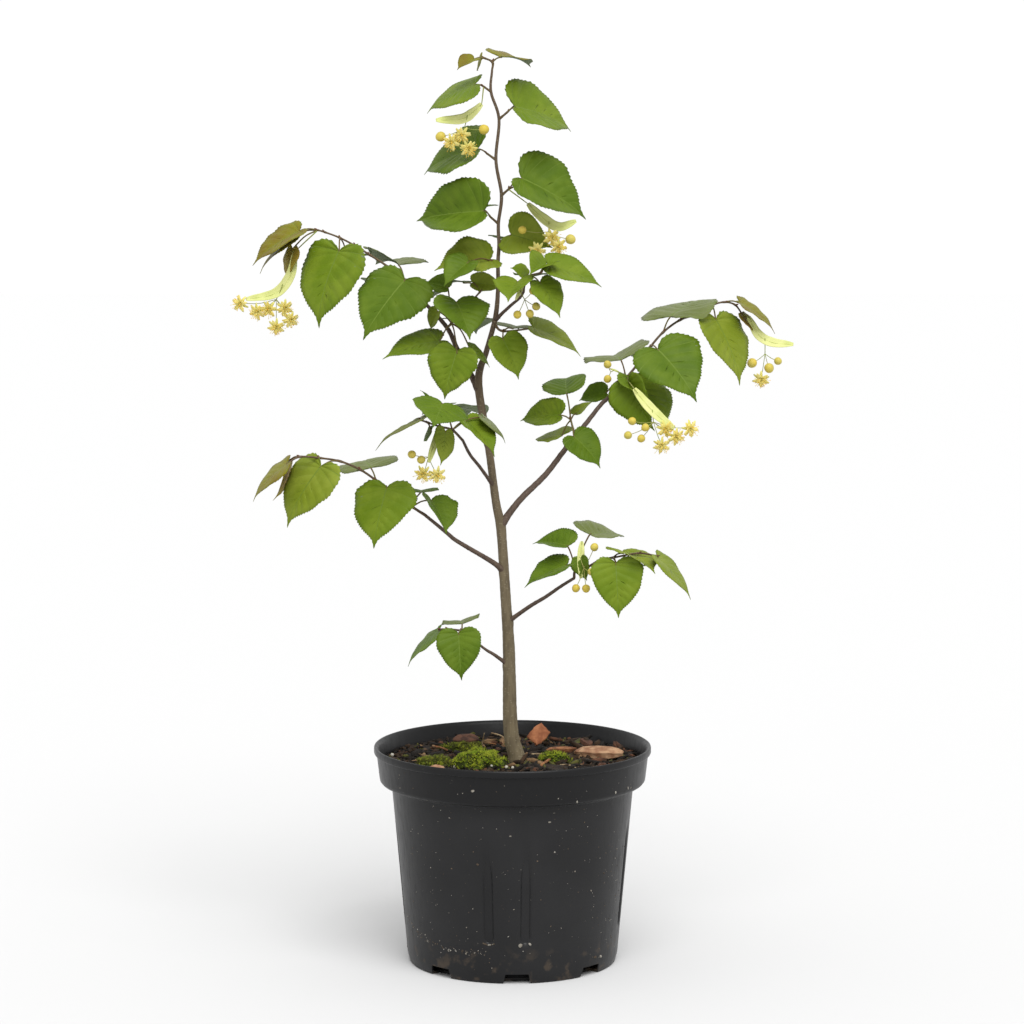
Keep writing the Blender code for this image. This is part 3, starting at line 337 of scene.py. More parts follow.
                 (Head((-6, -8, -32), BUD_RADIUS), Head((6, -8, -31), BUD_RADIUS),
                  Head((12, -6, -24), BUD_RADIUS), Head((9, -8, -9), BUD_RADIUS))),)),
    Spray("spray_leader_low", None, 646.0,
          ((-9.4, -10, 639), (19, -14, 642)),
          (Leaf(Tone.BRIGHT, 0, (0, -12, -7), (15, -6, -40), (5, -8, 3), 12, 1.07),
           Leaf(Tone.SHEEN, 0, (10, 14, 2), (4, 42, -2), (1, 1, 9), 12),
           Leaf(Tone.LIGHT, 1, (2, -2, 1), (48, 8, -27), (5, -3, 8), 12, 0.93))),
    Spray("spray_leader_left", None, 707.0,
          ((-19.5, -8, 708),),
          (Leaf(Tone.MID, 0, (-24, -22, 0), (-24, -14, -23), (-3, -7, 7), 24, 1.05),
           Leaf(Tone.LIGHT, 0, (-3, 4, 2), (-55, -15, -9), (0, -5, 9), 16, 1.11))),
    Spray("spray_leader_right", None, 722.0,
          ((-6.5, 4, 727),),
          (Leaf(Tone.LIGHT, 0, (5, 4, 7), (41, -16, -13), (-2, -9, 4), 34, 1.21),
           Leaf(Tone.MID, 0, (2, 10, 3), (8, 58, -10), (0, 1, 9), 12, 0.7))),
    Spray("spray_upper_left_leaf", None, 745.0,
          ((-21, -3, 751),),
          (Leaf(Tone.MID, 0, (-8, -12, 7), (-69, 44, -13), (-5, -7, 5), 34, 0.91),
           Leaf(Tone.MID, 0, (-12, 12, 10), (-12, 58, -8), (0, 1, 9), 12, 0.7))),
    Spray("spray_upper_right", None, 773.0,
          ((-4, -2, 779),),
          (Leaf(Tone.MID, 0, (13, -6, 11), (65, 12, -41), (5, -6, 6), 19, 1.12),
           Leaf(Tone.MID, 0, (22, 12, 4), (8, 58, -8), (0, 1, 9), 12, 0.7)),
          (Bloom(0, (19, -5, -14), ((12, -2, -12), (30, -4, -23), (48, -6, -17)),
                 (Head((-5, -6, -26), BUD_RADIUS), Head((10, -6, -45), FLOWER_RADIUS),
                  Head((23, -6, -32), FLOWER_RADIUS), Head((30, -6, -41), FLOWER_RADIUS),
                  Head((42, -6, -35), BUD_RADIUS + 1))),)),
    Spray("spray_high_left", None, 808.0,
          ((-25, 6, 814),),
          (Leaf(Tone.MID, 0, (-10, 4, 5), (-56, 35, -25), (-6, -4, 8), 15, 1.1),)),
    Spray("spray_high_right", None, 848.0,
          ((-5, 2, 855),),
          (Leaf(Tone.BRIGHT, 0, (8, -2, 5), (58, 43, -23), (6, -4, 7), 18),
           Leaf(Tone.MID, 0, (18, 32, 8), (8, 38, -8), (0, 1, 9), 12, 0.7))),
    Spray("spray_top_left", None, 875.0,
          ((-28.5, 1, 880),),
          (Leaf(Tone.BRIGHT, 0, (-9, -1, 2), (-49, 14, -27), (-5, -3, 8), 3, 1.16),),
          (Bloom(0, (-2, -6, -17), ((-8, -2, -8), (-20, -4, -15), (-45, -6, -16)),
                 (Head((-40, -6, -32), BUD_RADIUS + 1), Head((-29, -8, -37), FLOWER_RADIUS),
                  Head((-19, -8, -30), FLOWER_RADIUS), Head((-13, -10, -43), FLOWER_RADIUS),
                  Head((2, -8, -25), BUD_RADIUS + 1))),)),
    Spray("spray_top", None, 896.0,
          ((-19.8, 4, 904), (-28, 3, 908)),
          (Leaf(Tone.BRONZE, 0, (8, -3, 5), (31, 44, -8), (3, 0, 10), 14, 0.85),
           Leaf(Tone.BRONZE, 1, (-10, -2, -1), (-17, -11, -10), (-2, -5, 8), 21, 1.08),
           Leaf(Tone.BRONZE, 1, (-3, 0, -1), (-4, 18, -11), (-10, -1, 2), 8, 0.82)),
          ()),
)

SOIL_HEIGHT = 203.0

MOSS = (
    Cushion("moss_left", (-34, -38), (56, 44, 15), 20, True),
    Cushion("moss_right", (42, -12), (36, 22, 9), -15, True),
    Cushion("moss_far_left", (-78, -30), (44, 30, 8), 10, False),
    Cushion("moss_back", (-50, 42), (52, 26, 8), -8, False),
)
CHIPS = (
    Chip("chip_square", (27, 62), (24, 20, 4), 10, 62, 40, 0),
    Chip("chip_long", (50, 34), (32, 8, 5), 16, 8, 0, 1),
    Chip("chip_pale", (88, 8), (50, 17, 7), -14, 14, 0, 2),
    Chip("chip_red", (76, 72), (20, 12, 5), 62, 10, 50, 3),
    Chip("chip_brown", (-48, 78), (26, 16, 6), 8, 20, 0, 3),
    Chip("chip_small", (-76, -62), (18, 9, 4), 25, 10, 0, 2),
)


def linear(red: float, green: float, blue: float) -> Colour:
    """Turn display values from 0 to 255 into scene-linear ones.

    Args:
        red: Display red.
        green: Display green.
        blue: Display blue.

    Returns:
        The three linear values.
    """
    shares = [value / 255.0 for value in (red, green, blue)]
    return tuple(s / 12.92 if s <= 0.04045 else ((s + 0.055) / 1.055) ** 2.4 for s in shares)


def rng_for(name: str) -> random.Random:
    """A random source that belongs to one named piece."""
    return random.Random(f"{SEED}_{name}")


def scatter(rng: random.Random, count: int, low: float, high: float) -> np.ndarray:
    """Rows of three even draws between two values."""
    return np.array([[rng.uniform(low, high) for _ in range(3)] for _ in range(count)])


def ripple(places: np.ndarray, size: float, name: str) -> np.ndarray:
    """A smooth uneven wave over places, between about -1 and 1.

    Args:
        places: Corners, one row each.
        size: Length of its swells, in the unit of places.
        name: Which wave, so that each piece has its own.

    Returns:
        One value a row.
    """
    rng = rng_for(name)
    total = np.zeros(len(places))
    for _ in range(RIPPLE_WAVES):
        way = np.array([rng.gauss(0, 1) for _ in range(3)])
        way *= math.tau / (size * rng.uniform(0.6, 1.5) * np.linalg.norm(way))
        total += np.sin(places @ way + rng.uniform(0, math.tau))
    return total / RIPPLE_HEIGHT


def unit(vector: np.ndarray) -> np.ndarray:
    """A vector at length one."""
    return vector / max(float(np.linalg.norm(vector)), 1e-9)


def headings(line: np.ndarray) -> np.ndarray:
    """The direction of a line at each of its points, at length one."""
    ahead = np.gradient(line, axis=0)
    return ahead / np.linalg.norm(ahead, axis=1)[:, None]


def lengths(line: np.ndarray) -> np.ndarray:
    """How far along a line each of its points lies."""
    return np.concatenate([[0.0], np.cumsum(np.linalg.norm(np.diff(line, axis=0), axis=1))])


def turn_z(angle: float) -> np.ndarray:
    """A turn about Z in radians, for rows of corners."""
    return np.array([[math.cos(angle), math.sin(angle), 0],
                     [-math.sin(angle), math.cos(angle), 0], [0, 0, 1]])


def spline(rows: Sequence, step: float) -> np.ndarray:
    """A smooth curve through rows, whose first three columns are a place.

    Args:
        rows: Knots, which may carry more values, such as a radius.
        step: Length between points.

    Returns:
        The curve's rows.
    """
    knots = np.asarray(rows, float)
    padded = np.vstack([2 * knots[0] - knots[1], knots, 2 * knots[-1] - knots[-2]])
    out = []
    for first in range(len(padded) - 3):
        a, b, c, d = padded[first:first + 4]
        count = max(2, int(np.linalg.norm(c[:3] - b[:3]) / step))
        for share in np.arange(count) / count:
            out.append(0.5 * (2 * b + (c - a) * share + (2 * a - 5 * b + 4 * c - d) * share ** 2
                              + (3 * b - a - 3 * c + d) * share ** 3))
    out.append(knots[-1])
    return np.array(out)


def placed(name: str, data: bpy.types.ID) -> bpy.types.Object:
    """Put a mesh, light or camera into the scene.

    Args:
        name: The object's name.
        data: What it shows.

    Returns:
        The object.
    """
    thing = bpy.data.objects.new(name, data)
    bpy.context.scene.collection.objects.link(thing)
    return thing


class Heap:
    """Corners and faces that are joined into one piece."""

    def __init__(self) -> None:
        """Start empty."""
        self.corners: list[np.ndarray] = []
        self.faces: list[list[int]] = []
        self.slots: list[int] = []
        self.count = 0

    def add(self, corners: np.ndarray, faces: Sequence, slot: int | Sequence = 0) -> None:
        """Add a shape.

        Args:
            corners: Places in millimetres.
            faces: Corner numbers of each face.
            slot: Finish number of all faces, or of each.
        """
        base = self.count
        self.corners.append(np.asarray(corners, float))
        self.faces.extend([[corner + base for corner in face] for face in faces])
        self.slots.extend([slot] * len(faces) if isinstance(slot, int) else slot)
        self.count += len(corners)

    def piece(self, name: str, finishes: Sequence["Finish"], slot: str,
              replaces: Sequence[str] = ()) -> bpy.types.Object:
        """Make the joined object and tie it to the body.

        Args:
            name: The piece's name.
            finishes: Its finishes, in the order of their numbers.
            slot: The record's material slot; not used.
            replaces: Solids that it stands for.

        Returns:
            The object.
        """
        mesh = bpy.data.meshes.new(name)
        mesh.from_pydata((np.vstack(self.corners) * MM).tolist(), [], self.faces)
        for finish in finishes:
            mesh.materials.append(finish.worn())
        mesh.polygons.foreach_set("material_index", self.slots)
        mesh.update()
        mesh.shade_smooth()
        return register(name, mesh, replaces)


def register(name: str, mesh: bpy.types.Mesh,
             replaces: Sequence[str] = ()) -> bpy.types.Object:
    """Link a mesh as a piece of the object.

    Args:
        name: The piece's name.
        mesh: Its mesh, in metres.
        replaces: Solids that it stands for.

    Returns:
        The object.
    """
    thing = placed(name, mesh)
    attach(thing, BODY)
    if replaces:
        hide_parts(*replaces)
    count = sum(len(face.vertices) - 2 for face in mesh.polygons)
    LOG.info("%s: %d triangles", name, count)
    return thing


def tube(line: np.ndarray, radii: np.ndarray, sides: int,
         relief: Optional[Callable] = None) -> Shape:
    """A closed round limb along a line.

    Args:
        line: Its points.
        radii: Its radius at each point.
        sides: How many corners each ring has.
        relief: Gives the share to add to the radius, from a place and its ring.

    Returns:
        Corners and faces.
    """
    ahead = headings(line)
    side = unit(np.cross(ahead[0], (0.3, 1.0, 0.2)))
    angles = np.arange(sides) * math.tau / sides
    rings = []
    for place, way, radius in zip(line, ahead, radii):
        side = unit(side - way * side.dot(way))
        other = np.cross(way, side)
        ring = np.outer(np.cos(angles), side) + np.outer(np.sin(angles), other)
        swell = radius * (1.0 + (relief(place, ring) if relief else np.zeros(sides)))
        rings.append(place + ring * swell[:, None])
    ends = np.array([line[0] - ahead[0] * radii[0] * 0.4, line[-1] + ahead[-1] * radii[-1] * 0.6])
    corners = np.vstack(rings + [ends])
    faces = []
    for ring in range(len(line) - 1):
        for corner in range(sides):
            after = (corner + 1) % sides
            low, high = ring * sides, (ring + 1) * sides
            faces.append([low + corner, low + after, high + after, high + corner])
    foot, top = len(corners) - 2, len(corners) - 1
    last = (len(line) - 1) * sides
    for corner in range(sides):
        after = (corner + 1) % sides
        faces.append([foot, after, corner])
        faces.append([top, last + corner, last + after])
    return corners, faces


def ball(sides: int, rings: int) -> Shape:
    """A round body of radius one, its poles on Z.

    Args:
        sides: Corners of each ring.
        rings: Rings between the poles.

    Returns:
        Corners and faces.
    """
    corners = [(0.0, 0.0, -1.0)]
    for ring in range(1, rings + 1):
        lift = -math.cos(math.pi * ring / (rings + 1))
        reach = math.sqrt(1.0 - lift * lift)
        for side in range(sides):
            angle = math.tau * side / sides
            corners.append((reach * math.cos(angle), reach * math.sin(angle), lift))
    corners.append((0.0, 0.0, 1.0))
    faces = []
    top = len(corners) - 1
    for side in range(sides):
        after = (side + 1) % sides
        faces.append([0, 1 + after, 1 + side])
        for ring in range(rings - 1):
            low, high = 1 + ring * sides, 1 + (ring + 1) * sides
            faces.append([low + side, low + after, high + after, high + side])
        last = 1 + (rings - 1) * sides
        faces.append([top, last + side, last + after])
    return np.array(corners), faces


def thin_sheet(top: np.ndarray, depth: np.ndarray, columns: int) -> Shape:
    """A closed thin sheet over a grid of corners.

    Args:
        top: The upper corners, row after row.
        depth: What lies between the upper corners and the lower ones.
        columns: How many corners each row has.

    Returns:
        Corners and faces.
    """
    size = len(top)
    count = size // columns
    faces = []
    for row in range(count - 1):
        for column in range(columns - 1):
            a = row * columns + column
            b = a + columns
            faces += [[a, b, b + 1, a + 1], [a + size, a + 1 + size, b + 1 + size, b + size]]
    loop = list(range(columns)) + [row * columns + columns - 1 for row in range(1, count)]
    loop += [size - columns + column for column in reversed(range(columns - 1))]
    loop += [row * columns for row in reversed(range(1, count - 1))]
    faces += [[a, b, b + size, a + size] for a, b in zip(loop, loop[1:] + loop[:1])]
    return np.vstack([top, top - depth]), faces


def turned_to(corners: np.ndarray, way: np.ndarray, spin: float = 0.0) -> np.ndarray:
    """Corners with their +Z brought round to a direction.

    Args:
        corners: Places about the origin.
        way: Where +Z points afterwards.
        spin: Turn about that direction, in radians.

    Returns:
        The turned corners.
    """
    up = unit(np.asarray(way, float))
    side = unit(np.cross((0.2, 0.9, 0.35), up))
    other = np.cross(up, side)
    first = side * math.cos(spin) + other * math.sin(spin)
    second = np.cross(up, first)
    return corners @ np.vstack([first, second, up])


class Recipe:
    """A material's node tree, built a node at a time."""

    def __init__(self, name: str) -> None:
        """Start with the Principled shader alone.

        Args:
            name: The material's name.
        """
        self.material = bpy.data.materials.new(name)
        self.material.use_nodes = True
        self.tree = self.material.node_tree
        self.shader = self.tree.nodes["Principled BSDF"]

    def node(self, kind: str, settings: Optional[dict] = None,
             **inputs: Value) -> bpy.types.Node:
        """Add a node.

        Args:
            kind: Its type without the ShaderNode at the front.
            settings: Its own settings.
            **inputs: Values or outputs for its inputs, with _ for each space.

        Returns:
            The node.
        """
        made = self.tree.nodes.new("ShaderNode" + kind)
        for key, value in (settings or {}).items():
            setattr(made, key, value)
        for key, value in inputs.items():
            self.give(made.inputs[key.replace("_", " ")], value)
        return made

    def give(self, socket: Socket, value: Value) -> None:
        """Set a socket to a value, or link an output to it.

        Args:
            socket: The input.
            value: What it gets.
        """
        if isinstance(value, Socket):
            self.tree.links.new(value, socket)
        else:
            socket.default_value = value

    def place(self, stretch: Point = (1.0, 1.0, 1.0)) -> Socket:
        """Object coordinates, stretched along the axes."""
        where = self.node("TexCoord").outputs["Object"]
        return self.node("Mapping", Vector=where, Scale=stretch).outputs["Vector"]

    def noise(self, where: Socket, scale: float, detail: float = 3.0) -> Socket:
        """A noise value between 0 and 1."""
        return self.node("TexNoise", Vector=where, Scale=scale, Detail=detail).outputs["Fac"]

    def spots(self, where: Socket, scale: float) -> Socket:
        """The distance to the nearest of many scattered points."""
        return self.node("TexVoronoi", Vector=where, Scale=scale).outputs["Distance"]

    def height(self, where: Socket) -> Socket:
        """The height part of a place."""
        return self.node("SeparateXYZ", Vector=where).outputs["Z"]

    def span(self, value: Socket, low: float, high: float, start: float = 0.0,
             end: float = 1.0) -> Socket:
        """Bring a value from one range to another, held at both ends.

        Args:
            value: The output that gives it.
            low: Where its range starts.
            high: Where its range ends.
            start: What low becomes.
            end: What high becomes.

        Returns:
            The output.
        """
        made = self.node("MapRange", {"clamp": True, "interpolation_type": "SMOOTHSTEP"},
                         Value=value, From_Min=low, From_Max=high, To_Min=start, To_Max=end)
        return made.outputs["Result"]

    def mix(self, share: Socket, first: Value, second: Value) -> Socket:
        """Mix two colours, each given in display values or as an output.

        Args:
            share: How much of the second there is.
            first: The first colour.
            second: The second colour.

        Returns:
            The output.
        """
        made = self.node("Mix", {"data_type": "RGBA"})
        self.give(made.inputs[0], share)
        for socket, value in ((made.inputs[6], first), (made.inputs[7], second)):
            self.give(socket, (*linear(*value), 1.0) if isinstance(value, tuple) else value)
        return made.outputs[2]

    def sums(self, how: str, first: Socket, second: Socket) -> Socket:
        """Work out a sum of two values.

        Args:
            how: ADD or MULTIPLY.
            first: The first value.
            second: The second value.

        Returns:
            The output.
        """
        made = self.node("Math", {"operation": how})
        self.give(made.inputs[0], first)
        self.give(made.inputs[1], second)
        return made.outputs[0]

    def bump(self, height: Socket, strength: float, distance: float) -> None:
        """Give the shader a fine relief."""
        made = self.node("Bump", Strength=strength, Distance=distance, Height=height)
        self.give(self.shader.inputs["Normal"], made.outputs["Normal"])

    def finish(self, colour: Value, roughness: Value,
               specular: float) -> bpy.types.Material:
        """Fill in the shader and hand the material over.

        Args:
            colour: Base colour in linear values, or the output that gives it.
            roughness: Roughness or the output that gives it.
            specular: Specular level.

        Returns:
            The material.
        """
        base = (*colour, 1.0) if isinstance(colour, tuple) else colour
        self.give(self.shader.inputs["Base Color"], base)
        self.give(self.shader.inputs["Roughness"], roughness)
        self.shader.inputs["Specular IOR Level"].default_value = specular
        return self.material


@dataclass(frozen=True)
class Finish:
    """A named finish."""

    name: str

    def worn(self) -> bpy.types.Material:
        """Its material, made once however many pieces wear it."""
        return bpy.data.materials.get(self.name) or self.material()

    def material(self) -> bpy.types.Material:
        """Its material, which each kind of finish makes in its own way."""
        raise NotImplementedError


@dataclass(frozen=True)
class SoftFinish(Finish):
    """A leaf, petal or stalk: one colour with faint patches and a fine grain."""

    colour: Colour
    patch: Colour
    roughness: float = 0.5
    specular: float = 0.11
    patch_scale: float = 45.0
    relief: float = 0.3

    def material(self) -> bpy.types.Material:
        """Build the finish.

        Returns:
            The material.
        """
        recipe = Recipe(self.name)
        where = recipe.place()
        cloud = recipe.span(recipe.noise(where, self.patch_scale), 0.35, 0.7)
        base = recipe.mix(cloud, self.colour, self.patch)
        grain = recipe.sums("ADD", recipe.noise(where, 700.0, 4.0), recipe.noise(where, 190.0))
        recipe.bump(grain, self.relief, 0.0007)
        return recipe.finish(base, self.roughness, self.specular)


@dataclass(frozen=True)
class RoughFinish(Finish):
    """Soil, bark pieces, moss and perlite: two colours in patches over a coarse relief."""

    colour: Colour
    patch: Colour
    roughness: float = 0.9
    patch_scale: float = 120.0
    grain_scale: float = 500.0
    relief: float = 0.6
    stretch: Point = (1.0, 1.0, 1.0)

    def material(self) -> bpy.types.Material:
        """Build the finish.

        Returns:
            The material.
        """
        recipe = Recipe(self.name)
        where = recipe.place(self.stretch)
        cloud = recipe.span(recipe.noise(where, self.patch_scale, 5.0), 0.38, 0.62)
        base = recipe.mix(cloud, self.colour, self.patch)
        recipe.bump(recipe.noise(where, self.grain_scale, 6.0), self.relief, 0.0008)
        return recipe.finish(base, self.roughness, 0.25)


@dataclass(frozen=True)
class BarkFinish(Finish):
    """Bark whose colour changes with height, with streaks and small pale pores."""

    low: Colour
    high: Colour
    dark: Colour
    pore: Colour
    from_height: float
    to_height: float
    roughness: float = 0.75
    streak: float = 0.55

    def material(self) -> bpy.types.Material:
        """Build the finish.

        Returns:
            The material.
        """
        recipe = Recipe(self.name)
        plain = recipe.place()
        rise = recipe.span(recipe.height(plain), self.from_height * MM, self.to_height * MM)
        base = recipe.mix(rise, self.low, self.high)
        long_way = recipe.place((1.0, 1.0, 0.12))
        streaks = recipe.span(recipe.noise(long_way, 420.0, 5.0), 0.42, 0.68, 0.0, self.streak)
        base = recipe.mix(streaks, base, self.dark)
        cloud = recipe.noise(recipe.place((1.0, 1.0, 0.6)), 95.0, 5.0)
        base = recipe.mix(recipe.span(cloud, 0.46, 0.68, 0.0, 0.32), base, self.dark)
        cells = recipe.spots(recipe.place((1.0, 1.0, 1.6)), 260.0)
        pores = recipe.span(cells, 0.16, 0.3, 0.65, 0.0)
        base = recipe.mix(pores, base, self.pore)
        relief = recipe.sums("ADD", recipe.noise(long_way, 500.0, 6.0), pores)
        recipe.bump(relief, 0.5, 0.0006)
        return recipe.finish(base, self.roughness, 0.3)


@dataclass(frozen=True)
class PlasticFinish(Finish):
    """Black moulded plastic with a soft shine, a film of dust and fine scuffs."""

    colour: Colour
    film: Colour
    earth: Colour
    film_top: float
    earth_top: float
    speck: Colour = (120, 116, 108)

    def material(self) -> bpy.types.Material:
        """Build the finish.

        Returns:
            The material.
        """
        recipe = Recipe(self.name)
        plain = recipe.place()
        high = recipe.height(plain)
        below = recipe.span(high, (self.film_top - 5.0) * MM, self.film_top * MM, 1.0, 0.25)
        cloud = recipe.span(recipe.noise(plain, 12.0, 6.0), 0.3, 0.75, 0.55, 1.0)
        base = recipe.mix(recipe.sums("MULTIPLY", below, cloud), self.colour, self.film)
        low = recipe.span(high, 0.006, self.earth_top * MM, 0.3, 0.0)
        stain = recipe.span(recipe.noise(plain, 70.0, 8.0), 0.52, 0.66)
        dusty = recipe.sums("MULTIPLY", low, stain)
        base = recipe.mix(dusty, base, self.earth)
        wear = recipe.noise(recipe.place((1.0, 1.0, 0.35)), 180.0, 8.0)
        base = recipe.mix(recipe.span(wear, 0.6, 0.8, 0.0, 0.35), base, self.film)
        specks = recipe.span(recipe.spots(plain, 120.0), 0.03, 0.06, 0.5, 0.0)
        rare = recipe.span(recipe.noise(plain, 60.0, 2.0), 0.52, 0.6)
        base = recipe.mix(recipe.sums("MULTIPLY", specks, rare), base, self.speck)
        scuffs = recipe.noise(recipe.place((1.0, 1.0, 0.25)), 260.0, 5.0)
        rough = recipe.span(recipe.sums("ADD", scuffs, dusty), 0.3, 1.2, 0.34, 0.6)
        recipe.bump(recipe.noise(plain, 900.0, 4.0), 0.16, 0.0004)
        return recipe.finish(base, rough, 0.22)


# The dark, mid, bright and light tones are partly each leaf's own colour and partly painted light
# and shade, picked per leaf to how lit or shaded it looks.
LEAF_FINISHES = {
    Tone.DARK: SoftFinish("leaf_dark", (60, 81, 12), (72, 92, 18)),
    Tone.MID: SoftFinish("leaf_mid", (72, 95, 15), (86, 107, 25)),
    Tone.BRIGHT: SoftFinish("leaf_bright", (89, 110, 19), (103, 121, 30)),
    Tone.LIGHT: SoftFinish("leaf_light", (105, 119, 30), (118, 130, 42)),
    Tone.OLIVE: SoftFinish("leaf_olive", (78, 85, 18), (92, 97, 30)),
    Tone.BRONZE: SoftFinish("leaf_bronze", (112, 111, 20), (105, 91, 26), 0.45),
    Tone.COPPER: SoftFinish("leaf_copper", (140, 126, 38), (122, 98, 42), 0.45),
    # Painted sheen for leaves seen edge-on, in place of the gloss that they catch at a grazing
    # angle.
    Tone.SHEEN: SoftFinish("leaf_sheen", (90, 100, 48), (101, 110, 60), 0.45, 0.2),
}
VEIN = SoftFinish("leaf_vein", (98, 117, 44), (90, 110, 36))
UNDERSIDE = SoftFinish("leaf_underside", (100, 112, 82), (110, 121, 92), 0.7)
UNDER_VEIN = SoftFinish("leaf_under_vein", (119, 129, 100), (116, 126, 94), 0.65)
PETIOLE = SoftFinish("leaf_stalk_green", (100, 92, 46), (90, 66, 42), 0.5, 0.25)
SHOOT = BarkFinish("shoot_bark", (84, 66, 48), (94, 78, 50), (58, 42, 32), (122, 104, 78),
                   330.0, 900.0, 0.55, 0.35)
TRUNK_BARK = BarkFinish("trunk_bark", (108, 97, 74), (92, 76, 60), (68, 58, 44),
                        (128, 118, 96), 300.0, 720.0, 0.75, 0.4)
BOUGH_BARK = BarkFinish("bough_bark", (90, 75, 63), (80, 64, 53), (50, 38, 33),
                        (112, 98, 84), 300.0, 700.0, 0.62, 0.4)
BUD_SCALE = SoftFinish("bud_scale", (96, 56, 38), (84, 66, 38), 0.4, 0.3)
BRACT = SoftFinish("bract", (201, 203, 136), (190, 196, 120), 0.5)
BRACT_RIB = SoftFinish("bract_rib", (192, 196, 122), (182, 190, 106), 0.5)
BLOSSOM_STALK = SoftFinish("blossom_stalk", (136, 147, 78), (146, 142, 80), 0.5)
BUD = SoftFinish("blossom_bud", (194, 172, 66), (182, 170, 80), 0.5, 0.3)
PETAL = SoftFinish("petal", (238, 228, 150), (232, 216, 118), 0.55)
SEPAL = SoftFinish("sepal", (222, 214, 130), (210, 206, 120), 0.55)
FILAMENT = SoftFinish("filament", (238, 228, 148), (230, 214, 118), 0.55)
ANTHER = SoftFinish("anther", (226, 186, 70), (212, 164, 52), 0.6)
SOIL = RoughFinish("soil_peat", (44, 34, 26), (22, 17, 13))
MOSS_BRIGHT = RoughFinish("moss_bright", (146, 154, 38), (106, 126, 22), 0.85)
MOSS_DULL = RoughFinish("moss_dull", (86, 88, 30), (60, 64, 20), 0.9)
POT_PLASTIC = PlasticFinish("pot_plastic_finish", (12, 12, 13), (33, 33, 34), (104, 88, 70),
                            184.0, 46.0)
DUST_PALE = RoughFinish("dust_pale", (150, 146, 138), (112, 106, 96))
DUST_EARTH = RoughFinish("dust_earth", (92, 80, 66), (66, 56, 46))
CRUMBS = (RoughFinish("crumb_black", (27, 21, 15), (15, 11, 8)),
          RoughFinish("crumb_brown", (60, 44, 29), (38, 28, 19)),
          RoughFinish("crumb_red", (92, 60, 42), (64, 42, 30)),
          RoughFinish("crumb_tan", (132, 104, 74), (98, 76, 52)),
          RoughFinish("crumb_olive", (84, 82, 38), (52, 54, 22)),
          RoughFinish("perlite", (188, 184, 172), (164, 158, 144)))
BARK_PIECES = (RoughFinish("bark_orange", (172, 112, 76), (138, 84, 56), 0.8),
               RoughFinish("bark_amber", (150, 102, 66), (108, 68, 44), 0.8),
               RoughFinish("bark_pale", (178, 142, 110), (140, 100, 74), 0.85),
               RoughFinish("bark_wine", (94, 64, 50), (62, 42, 34), 0.9))
STICKS = (RoughFinish("stick_pale", (170, 150, 118), (126, 104, 78)),
          RoughFinish("stick_brown", (140, 96, 62), (98, 66, 44)))
MOSS_BASE = RoughFinish("moss_base", (58, 70, 14), (36, 40, 12), 0.95)


